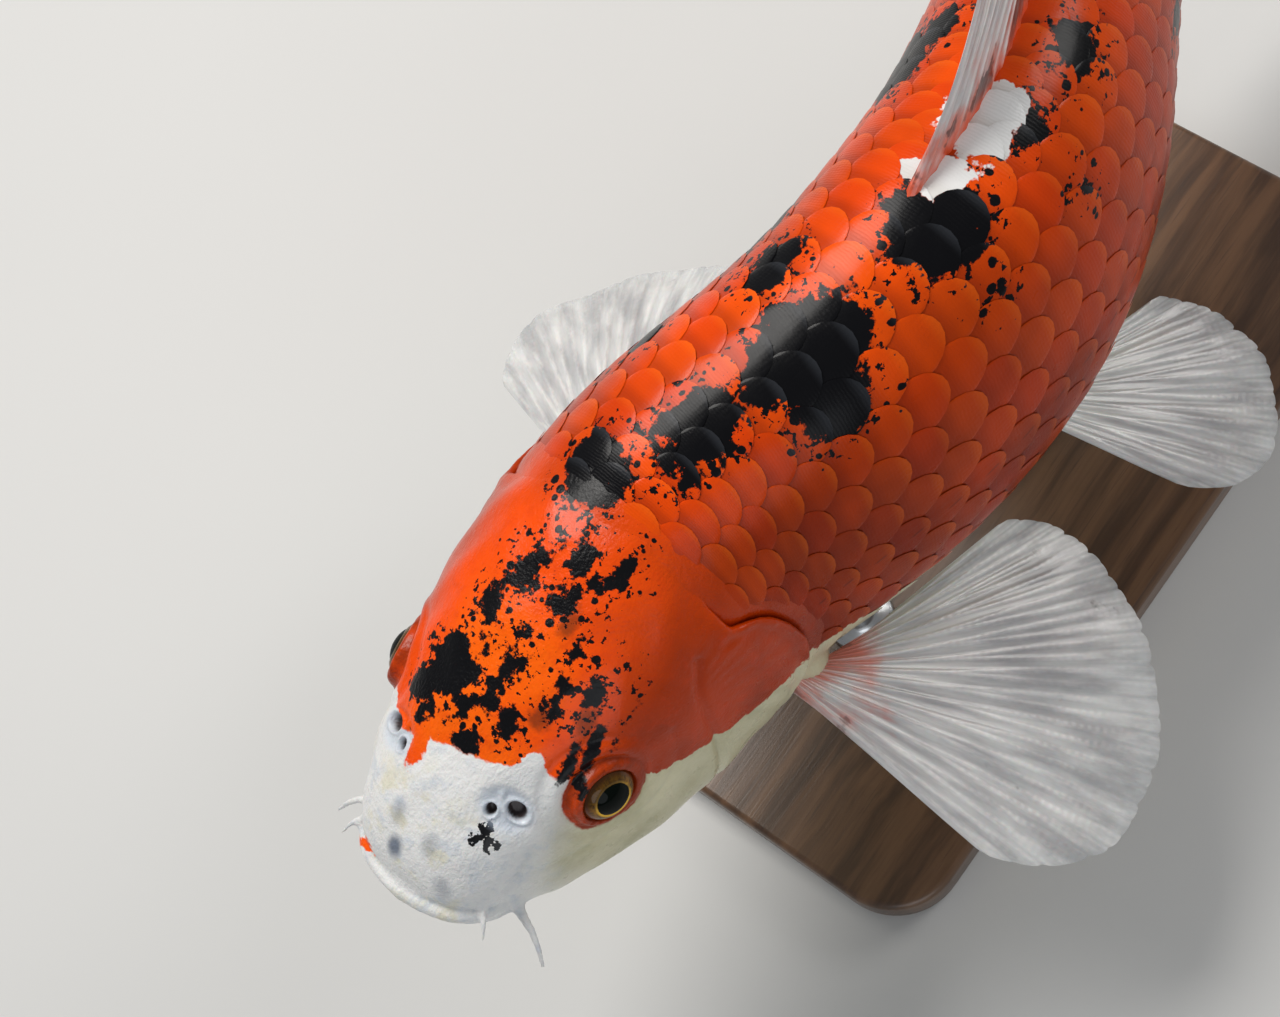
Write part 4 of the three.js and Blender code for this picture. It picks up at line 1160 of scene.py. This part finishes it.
# ---- scales ------------------------------------------------------------------------------------
ROWS_ABOVE, ROWS_BELOW = 6, 7  # rows of scales from the back to the lateral line, and on to the belly
row_step = curve((100, 8), (160, 10.3), (260, 10.6), (360, 9), (460, 7))
lateral_share = curve((95, 0.44), (130, 0.46), (300, 0.5), (460, 0.5))
SCALE_COLUMNS = 10
SCALE_LINES = [0, 0.36, 0.66, 0.86, 0.95, 1]  # where a scale's lines of corners lie, from root to rim
SCALE_STEP = 0.48  # how much a scale rises from one scale's root to the next
SCALE_TIP = 1.16  # how far behind its root's place a scale ends, in steps from scale to scale
SCALES_START = 50.0  # s of the first column; scales that would lie on the bare head are left out
BESIDE_DORSAL = (198, 337)  # the middle row of the back parts here to pass the dorsal fin
BESIDE_ANAL = (341, 381)  # and that of the belly to pass the anal fin


def scale_template():
    """One closed scale, and for each corner q across (-1 to 1), p along (0 to 1) and 1 under its middle."""
    rows = len(SCALE_LINES) - 1
    work = bmesh.new()
    bmesh.ops.create_grid(work, x_segments=SCALE_COLUMNS, y_segments=rows, size=1)
    for edge in work.edges:
        edge.smooth = not edge.is_boundary
    below = bmesh.ops.holes_fill(work, edges=work.edges, sides=0)["faces"]
    for middle in bmesh.ops.poke(work, faces=below)["verts"]:
        middle.co.z = 1
    bmesh.ops.recalc_face_normals(work, faces=work.faces)
    mesh = mesh_of(work, "scale")
    flat = corners(mesh)
    across = np.sin(flat[:, 0] * math.pi / 2)
    along = np.interp((flat[:, 1] + 1) / 2, np.linspace(0, 1, rows + 1), SCALE_LINES)
    return mesh, across, along, flat[:, 2]


def row_pitch(s, k):
    """Distance between the rows of scales next to the k-th row from the back."""
    line = lateral_share(s)
    return half_girth(s) * (line / ROWS_ABOVE if k <= ROWS_ABOVE else (1 - line) / ROWS_BELOW)


def row_place(s, k):
    """Way round from the back to the k-th row of scales."""
    above = min(k, ROWS_ABOVE) * row_pitch(s, 0)
    return above + max(k - ROWS_ABOVE, 0) * row_pitch(s, ROWS_ABOVE + 1)


def scale_sites(rng):
    """Root of every scale: s, w, distance between rows, 1 on the lateral line, and two random numbers."""
    stations = [SCALES_START]
    while stations[-1] < BODY_LENGTH - 6:
        stations.append(stations[-1] + float(row_step(stations[-1])))
    halfway = [(a + b) / 2 for a, b in zip(stations, stations[1:])]
    last = ROWS_ABOVE + ROWS_BELOW
    sites = []
    for k in range(last + 1):
        for s in halfway if k % 2 else stations:
            pitch, w = float(row_pitch(s, k)), float(row_place(s, k))
            beside_dorsal = k == 0 and BESIDE_DORSAL[0] < s < BESIDE_DORSAL[1]
            beside_anal = k == last and BESIDE_ANAL[0] < s < BESIDE_ANAL[1]
            inwards = 0.42 * pitch * (beside_dorsal - beside_anal)
            for side in (1,) if k in (0, last) and not inwards else (1, -1):
                sites.append((s, side * (w + inwards), pitch, k == ROWS_ABOVE))
    sites = np.array(sites, float)
    s, w = sites[:, 0], sites[:, 1]
    share = np.abs(w) / half_girth(s)
    keep = s > gill_rear(share) + mix(-6.0, 0.5, ease(0.14, 0.22, share))
    for base, clear in ((PECTORAL_BASE, 10.0), (PELVIC_BASE, 8.5)):
        roots = on_body(s, np.abs(w)) - np.array(base)
        keep &= np.linalg.norm(roots * (1, 0.85, 1), axis=1) > clear
    sites = sites[keep]
    return np.concatenate([sites, rng.random((len(sites), 2))], axis=1)


def scale_shape(sites, q, p, under):
    """Where the corners of all scales lie: s, w, height over the body and steps behind the root's place."""
    s, w, pitch, lateral, luck, luck_b = (column[:, None] for column in sites.T)
    step = row_step(s)
    q, p = q[None], p[None]
    round_end = np.sqrt(np.clip(1 - q**2, 0, 1))
    tip = 0.36 + (0.8 + 0.06 * (luck - 0.5)) * round_end
    root = -0.3 + 0.16 * q**2
    a = mix(root, tip, p)
    narrow = mix(0.72, 1, ease(0, 0.5, p))
    b = 0.62 * pitch * q * narrow
    rise = SCALE_STEP * (a + 0.3)
    dome = 0.06 * (1 - q**2) + 0.3 * lateral * bell(q, 0.15)
    dome = dome * ease(0.1, 0.7, p) * ease(1.0, 0.75, p)
    rim = -0.06 * np.clip((p - 0.8) / 0.2, 0, 1) ** 2 - 0.12 * under[None]
    tilt = 0.12 * (luck_b - 0.5) * q
    there_s = s + a * step
    there_w = w + b * np.where(w < 0, -1, 1)
    share = np.clip(np.abs(there_w) / half_girth(there_s), 0, 1)
    rooted = 0.8 * ease(10, 1, there_s - gill_rear(share))
    height = (rise + dome + rim + tilt) * pitch / 12 + 0.2 - COAT_DEPTH
    return there_s, there_w, height - 1.4 * under_cover(there_s, share) - rooted, a


def make_scales(material):
    sites = scale_sites(np.random.default_rng(7))
    template, q, p, under = scale_template()
    middle = (np.abs(sites[:, 1]) < 0.1) | (np.abs(sites[:, 1] - half_girth(sites[:, 0])) < 0.1)
    groups = {
        "scales_left": sites[~middle & (sites[:, 1] > 0)],
        "scales_right": sites[~middle & (sites[:, 1] < 0)],
        "scales_middle": sites[middle],
    }
    for name, rows in groups.items():
        work = bmesh.new()
        for _ in rows:
            work.from_mesh(template)
        mesh = mesh_of(work, name)
        there_s, there_w, height, a = scale_shape(rows, q, p, under)
        root_s, root_w, _, lateral, luck, _ = (
            np.broadcast_to(column[:, None], a.shape) for column in rows.T
        )
        across = np.broadcast_to(q[None], a.shape)
        mark_s = mix(root_s + 4, there_s, 0.8).ravel()
        mark_w = mix(root_w, there_w, 0.8).ravel()
        label_body(mesh, mark_s, mark_w, on_body(mark_s, mark_w))
        label(mesh, "scale", [a.ravel() / SCALE_TIP, across.ravel(), (luck + 2 * lateral).ravel()])
        unwrap_on_skin(mesh, root_s, root_w, a, across)
        there_s, there_w, height = there_s.ravel(), there_w.ravel(), height.ravel()
        set_corners(mesh, posed(on_body(there_s, there_w, height)))
        face_outward(mesh, posed(on_body(there_s, there_w, height + 1)))
        finished(mesh, name, material)


def face_outward(mesh, outside):
    """Turns the whole sheet over where its faces look into the body."""
    if ((outside - corners(mesh)) * normals(mesh)).sum() < 0:
        mesh.flip_normals()


PATCH = 0.003  # how wide a scale's patch is on the unwrap
UNROLLED = (480, 350)  # length and width of the unrolled skin on the unwrap


def unwrap_on_skin(mesh, root_s, root_w, a, across):
    """The OFBake map: each scale is a small patch at its root's place on the unrolled skin."""
    u = 0.01 + 0.98 * root_s / UNROLLED[0] + (a - 0.4) * PATCH / 1.45
    v = 0.5 + 0.98 * root_w / UNROLLED[1] + across * PATCH / 2
    spots = np.stack([u.ravel(), v.ravel()], -1)
    layer = mesh.uv_layers.new(name="OFBake")
    ids = np.empty(len(mesh.loops), int)
    mesh.loops.foreach_get("vertex_index", ids)
    layer.data.foreach_set("uv", spots[ids].astype(np.float32).ravel())


# ---- fins --------------------------------------------------------------------------------------
COLUMNS_PER_RAY = 10
PAIRED_ROOT, MEDIAN_ROOT = -9, -5  # where a fin's rays begin, inside the flesh


def ray_ridge(phase, along):
    """Height of the rays, 0 to 1, across one repeat of the fan: each ray forks twice."""
    local = phase - np.floor(phase) - 0.5
    first = 0.25 * ease(0.34, 0.72, along)
    second = 0.125 * ease(0.66, 0.98, along)
    thin = mix(0.17, 0.07, ease(0.1, 0.9, along))
    height = np.zeros_like(along)
    for turn_one in (-1, 1):
        for turn_two in (-1, 1):
            centre = turn_one * first + turn_two * second
            height = np.maximum(height, bell(local - centre, thin))
    return height


def make_fin(name, material, rays, rows, place, thick, replaced, flesh=0.0):
    """A rayed fin: two skins over place(t, along), pinched together round their border."""
    columns = rays * COLUMNS_PER_RAY
    step = 2e-3
    shares = []

    def face(sign):
        def put(u, v):
            v = np.where((u < 1e-6) | (u > 1 - 1e-6), np.clip(v, 1 / rows, 1 - 1 / rows), v)
            over_t = place(np.minimum(u + step, 1), v) - place(np.maximum(u - step, 0), v)
            over_v = place(u, np.minimum(v + step, 1)) - place(u, np.maximum(v - step, 0))
            out = unit(np.cross(over_t, over_v))
            ridge = ray_ridge(u * rays, v)
            sides = ease(0, 0.012, u), ease(0, 0.012, 1 - u)
            edge = np.minimum.reduce([*sides, ease(0, 0.09, 1 - v), ease(0, 0.002, v)])
            lead = np.exp(-u * rays * 1.6)
            root = mix(thick, 0.55, ease(0, 0.42, v)) + flesh * ease(0.2, 0.04, v)
            half = 0.5 * (root * 0.8 + (0.35 + 0.45 * (1 - v)) * ridge + 0.9 * lead * (1 - 0.7 * v)) * edge
            shares.append((u, v, ridge))
            return place(u, v) + sign * half[:, None] * out

        return put

    work = bmesh.new()
    count = len(sheet(work, columns, rows, face(1)))
    sheet(work, columns, rows, face(-1))
    u, v, ridge = np.concatenate(shares, axis=1)
    keep_u = work.verts.layers.float.new("u")
    keep_v = work.verts.layers.float.new("v")
    keep_ridge = work.verts.layers.float.new("r")
    work.verts.ensure_lookup_table()
    for vertex, a, b, c in zip(work.verts, u, v, ridge):
        vertex[keep_u], vertex[keep_v], vertex[keep_ridge] = a, b, c
    bmesh.ops.reverse_faces(work, faces=[f for f in work.faces if all(x.index >= count for x in f.verts)])
    close(work, 1e-3)
    for edge in work.edges:
        edge.smooth = edge.calc_face_angle(0) < 2
    u, v, ridge = (
        np.array([vertex[layer] for vertex in work.verts]) for layer in (keep_u, keep_v, keep_ridge)
    )
    mesh = mesh_of(work, name)
    for layer in ("u", "v", "r"):
        mesh.attributes.remove(mesh.attributes[layer])
    points = corners(mesh)
    reach = np.linalg.norm(points - place(u, np.zeros_like(u)), axis=1)
    label(mesh, "ray", [u * rays, reach, v])
    label(mesh, "ridge", [ridge] * 3)
    label(mesh, "straight", points.T)
    set_corners(mesh, to_row(points))
    return finished(mesh, name, material, [replaced])


def fan_length(points, rays, scallop):
    """Length of the fan against the share across it, with a frayed edge between the rays."""
    plain = curve(*points)

    def length(t):
        between = 1 - np.abs(np.sin(math.pi * t * rays)) ** 0.6
        fork = 1 - np.abs(np.sin(math.pi * t * rays * 2)) ** 0.6
        frayed = 1 + 0.8 * np.sin(t * 37 + 1) * np.sin(t * 83)
        return plain(t) - scallop * frayed * (0.28 * between + 0.2 * fork)

    return length


def paired_fin(base, root, spread, droop, pitch, curl, length, side, ripple):
    """Place of a pectoral or pelvic fin's points, spread from a short root low on the flank."""
    origin, left, back, up = backbone(base[1])
    out = left * side
    droop, pitch = math.radians(droop), math.radians(pitch)
    span = out * math.cos(droop) - up * math.sin(droop)
    lift = out * math.sin(droop) + up * math.cos(droop)
    chord = back * math.cos(pitch) + lift * math.sin(pitch)
    under = np.cross(span, chord) * -side
    start = origin + out * base[0] + up * base[2]
    lean = out * 0.1 + back * 0.8 - up * 0.6

    def place(t, along):
        turn = np.radians(mix(*spread, t))
        reach = mix(PAIRED_ROOT, length(t), along)
        bow = curl * np.maximum(reach, 0) ** 2 / 100
        wave = ripple * along**1.5 * (np.sin(t * 13 + along * 3.5) + 0.6 * np.sin(t * 29 - along * 6))
        point = start + lean * (root * (t - 0.5))[:, None]
        point = point + span * (reach * np.cos(turn))[:, None] + chord * (reach * np.sin(turn))[:, None]
        return swim(point + under * (bow + wave)[:, None])

    return place


def median_fin(first, last, edge, side, rake, lean, wave, length, ripple):
    """Place of the dorsal or anal fin's points, raked back from the back's or the belly's line."""

    def place(t, along):
        turn = np.radians(mix(*rake, t))
        reach = mix(MEDIAN_ROOT, length(t), along)
        root = mix(first, last, t)
        rise = reach * np.sin(turn)
        sway = math.sin(math.radians(lean)) * rise + wave * along * np.sin(t * 2.2 * math.pi)
        sway = sway + ripple * along**1.4 * np.sin(t * 21 + along * 3)
        return swim(bend(np.stack([sway, root + reach * np.cos(turn), edge(root) + side * rise], -1)))

    return place


def caudal_lobe(side, length):
    """Place of one tail lobe's points, spread from the tail stalk's end. The lower is a little shorter."""
    top, bottom = float(back_line(BODY_LENGTH)), float(belly_line(BODY_LENGTH))
    middle, half = (top + bottom) / 2, (top - bottom) / 2 - 1

    def place(t, along):
        turn = np.radians(mix(0.3, 36, t**1.15))
        reach = mix(MEDIAN_ROOT, length(t) * (1 if side > 0 else 0.96), along)
        sway = 3 * along**2 * np.sin((side * t + 0.3) * math.pi)
        sway = sway + 0.9 * along**1.5 * np.sin(t * 17 + along * 4)
        z = middle + side * (0.15 + half * t + np.maximum(reach, 0) * np.sin(turn))
        return swim(bend(np.stack([sway, BODY_LENGTH + reach * np.cos(turn), z], -1)))

    return place


def make_fins():
    paired = fin_material("fin_paired", 0.75, 30, 0.5, (0.66, 0.16, 0.05, 1))
    top = fin_material("fin_top", 0.85, 26, 0.75, VIVID_ORANGE)
    tail = fin_material("fin_tail", 0.8, 34, 0.9, (0.72, 0.07, 0.002, 1))
    pectoral = fan_length(
        [(0, 72), (0.08, 89), (0.2, 102), (0.35, 105), (0.55, 99), (0.75, 89), (0.9, 78), (1, 64)], 15, 2.2,
    )
    pelvic = fan_length([(0, 58), (0.1, 73), (0.3, 83), (0.5, 81), (0.75, 70), (1, 50)], 10, 2)
    dorsal = fan_length(
        [(0, 52), (0.04, 62), (0.12, 60), (0.35, 46), (0.7, 36), (0.92, 32), (1, 24)], 21, 1.6,
    )
    anal = fan_length([(0, 38), (0.1, 48), (0.3, 50), (0.6, 40), (1, 26)], 7, 1.4)
    caudal = fan_length([(0, 52), (0.25, 60), (0.55, 78), (0.8, 94), (0.92, 97), (1, 86)], 10, 1.6)
    for name, side in (("left", 1), ("right", -1)):
        place = paired_fin(PECTORAL_BASE, 20, (8, 86), 21, -6, 0.12, pectoral, side, 1.1)
        make_fin(f"fin_pectoral_{name}", paired, 15, 40, place, 3.2, f"pectoral_fin_{name}")
        place = paired_fin(PELVIC_BASE, 16, (14, 72), 23, -4, 0.1, pelvic, side, 0.8)
        make_fin(f"fin_pelvic_{name}", paired, 10, 34, place, 2.6, f"pelvic_fin_{name}")
    place = median_fin(200, 338, back_line, 1, (38, 30), -3, 2.5, dorsal, 0.8)
    make_fin("fin_dorsal", top, 21, 28, place, 3.0, "dorsal_fin")
    place = median_fin(349, 381, belly_line, -1, (58, 34), 3, 1, anal, 0.5)
    make_fin("fin_anal", tail, 7, 28, place, 2.6, "anal_fin")
    for name, side in (("upper", 1), ("lower", -1)):
        make_fin(f"fin_tail_{name}", tail, 10, 38, caudal_lobe(side, caudal), 4.0, f"caudal_fin_{name}", 5.0)


# ---- eyes --------------------------------------------------------------------------------------
def make_eyes(material):
    """Each eye turned about the way it looks: bulging pupil, ridge of the iris, iris and ball."""
    profile = [
        (0, 7.7), (1.2, 7.62), (2.4, 7.36), (3.5, 6.94), (4.3, 6.48), (4.65, 6.22), (4.8, 6.16),
        (5.1, 6.2), (5.5, 6.06), (6.1, 5.62), (6.7, 5.05), (7.3, 4.3), (7.8, 3.4), (8.2, 2.2), (8.4, 0),
        (7.6, -3.5), (0, -5),
    ]
    for name, side in (("left", 1), ("right", -1)):
        work = lathed(profile, 64)
        close(work, 1e-3)
        mesh = mesh_of(work, f"eye_{name}")
        local = corners(mesh)
        label(mesh, "gaze", local.T)
        axis = EYE_AXIS * (side, 1, 1)
        across = unit(np.cross((0, 0, 1), axis))
        above = np.cross(axis, across)
        straight = EYE * (side, 1, 1) + local @ np.array([across, above, axis])
        set_corners(mesh, posed(straight))
        finished(mesh, f"koi_eye_{name}", material, [f"eye_{name}"])


# ---- stand -------------------------------------------------------------------------------------
LARGE_FACE = 1e-3  # square metres: the plinth's flat faces are larger, those of its rounded edges smaller


def rise_of(edge):
    """How far an edge climbs."""
    return abs(edge.verts[0].co.z - edge.verts[1].co.z)


def make_stand(wood, steel):
    """A plinth with rounded edges and two rods, each with a foot and a broad head under the fish."""
    low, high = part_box("stand_base")
    size = high - low
    work = bmesh.new()
    bmesh.ops.create_cube(work, size=1)
    bmesh.ops.scale(work, vec=size, verts=work.verts)
    rounding = {"profile": 0.5, "affect": "EDGES", "material": -1}
    upright = [edge for edge in work.edges if rise_of(edge) > 0.5 * size.z]
    bmesh.ops.bevel(work, geom=upright, offset=0.022, segments=14, **rounding)
    level = [edge for edge in work.edges if rise_of(edge) < 1e-6 and edge.calc_face_angle(0) > 1.2]
    bmesh.ops.bevel(work, geom=level, offset=0.0022, segments=4, **rounding)
    bmesh.ops.translate(work, vec=(low + high) / 2, verts=work.verts)
    plinth = finished(mesh_of(work, "plinth"), "plinth", wood, ["stand_base"])
    for face in plinth.data.polygons:
        face.use_smooth = face.area < LARGE_FACE

    for name in ("front", "rear"):
        low, high = (1000 * np.array(corner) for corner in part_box(f"stand_rod_{name}"))
        centre, bottom, top = (low + high) / 2, low[2], high[2]
        profile = [
            (0, bottom), (10.6, bottom), (11, bottom + 0.4), (11, bottom + 1.8), (10.4, bottom + 2.6),
            (6.2, bottom + 4.2), (4.9, bottom + 5.4), (4.5, bottom + 7), (4.5, top - 14), (5.2, top - 12.5),
            (8.4, top - 10.6), (9, top - 9.6), (9, top - 0.6), (8.6, top), (7.6, top + 0.4), (0, top + 1),
        ]
        work = lathed([(radius / 1000, height / 1000) for radius, height in profile], 40)
        close(work, 1e-6)
        bmesh.ops.translate(work, vec=(centre[0] / 1000, centre[1] / 1000, 0), verts=work.verts)
        finished(mesh_of(work, "rod"), f"rod_{name}", steel, [f"stand_rod_{name}"])


# ---- camera, floor and light -------------------------------------------------------------------
VIEW = (61.01, 64.56, -25.15)  # degrees: from dead ahead round to the fish's left, up, and the roll
VIEW_AIM = np.array([-9.14, 111.97, 10])
VIEW_DISTANCE = 600.8
FOCAL_LENGTH = 65.58


def make_camera():
    """Looks steeply down on the fish's left front, rolled so that its body runs up the frame."""
    azimuth, elevation, roll = (math.radians(angle) for angle in VIEW)
    level = math.cos(elevation)
    back = np.array([math.sin(azimuth) * level, -math.cos(azimuth) * level, math.sin(elevation)])
    right = np.array([math.cos(azimuth), math.sin(azimuth), 0])
    up = np.cross(back, right)
    across = right * math.cos(roll) + up * math.sin(roll)
    above = up * math.cos(roll) - right * math.sin(roll)
    place = to_row(swim(VIEW_AIM + back * VIEW_DISTANCE))
    upright = swim(np.zeros(3))
    axes = [swim(axis) - upright for axis in (across, above, back)]
    lens = bpy.data.cameras.new("camera")
    lens.sensor_width = 36
    lens.lens = FOCAL_LENGTH
    lens.clip_start = 0.01
    camera = bpy.data.objects.new("camera", lens)
    turned = Matrix([[axes[column][row] for column in range(3)] for row in range(3)]).to_4x4()
    camera.matrix_world = Matrix.Translation(place) @ turned
    bpy.context.scene.collection.objects.link(camera)
    bpy.context.scene.camera = camera


def make_room():
    work = bmesh.new()
    bmesh.ops.create_grid(work, x_segments=1, y_segments=1, size=4)
    floor = bpy.data.objects.new("floor", mesh_of(work, "floor"))
    recipe = Recipe("floor", Roughness=0.7)
    place = object_place(recipe)
    shade = recipe.blend(recipe.noise(place, 300, 2), (0.60, 0.60, 0.59, 1), (0.66, 0.66, 0.65, 1))
    floor.data.materials.append(recipe.feed(Base_Color=shade))
    bpy.context.scene.collection.objects.link(floor)

    world = bpy.data.worlds.new("studio")
    world.use_nodes = True
    background = world.node_tree.nodes["Background"]
    background.inputs["Color"].default_value = (0.93, 0.96, 1.0, 1)
    background.inputs["Strength"].default_value = 0.24
    bpy.context.scene.world = world
    target = Vector((0, -0.12, 0.15))
    softboxes = [
        ("key", (-0.8, 0.0, 1.5), 0.9, 23.5, (1.0, 0.97, 0.93)),
        ("fill", (1.4, -1.2, 0.9), 1.4, 7, (0.92, 0.96, 1.0)),
        ("rim", (0.5, 1.5, 1.1), 0.8, 10, (1.0, 0.98, 0.95)),
    ]
    for name, place, size, power, colour in softboxes:
        light = bpy.data.lights.new(name, "AREA")
        light.shape = "DISK"
        light.size = size
        light.energy = power
        light.color = colour
        lamp = bpy.data.objects.new(name, light)
        lamp.location = place
        lamp.rotation_mode = "QUATERNION"
        lamp.rotation_quaternion = (target - Vector(place)).to_track_quat("-Z", "Y")
        bpy.context.scene.collection.objects.link(lamp)
    bpy.context.scene.view_settings.view_transform = "Standard"


make_camera()
make_room()
make_skin(skin_material())
make_scales(scale_material())
make_fins()
make_eyes(eye_material())
make_stand(wood_material(), steel_material())
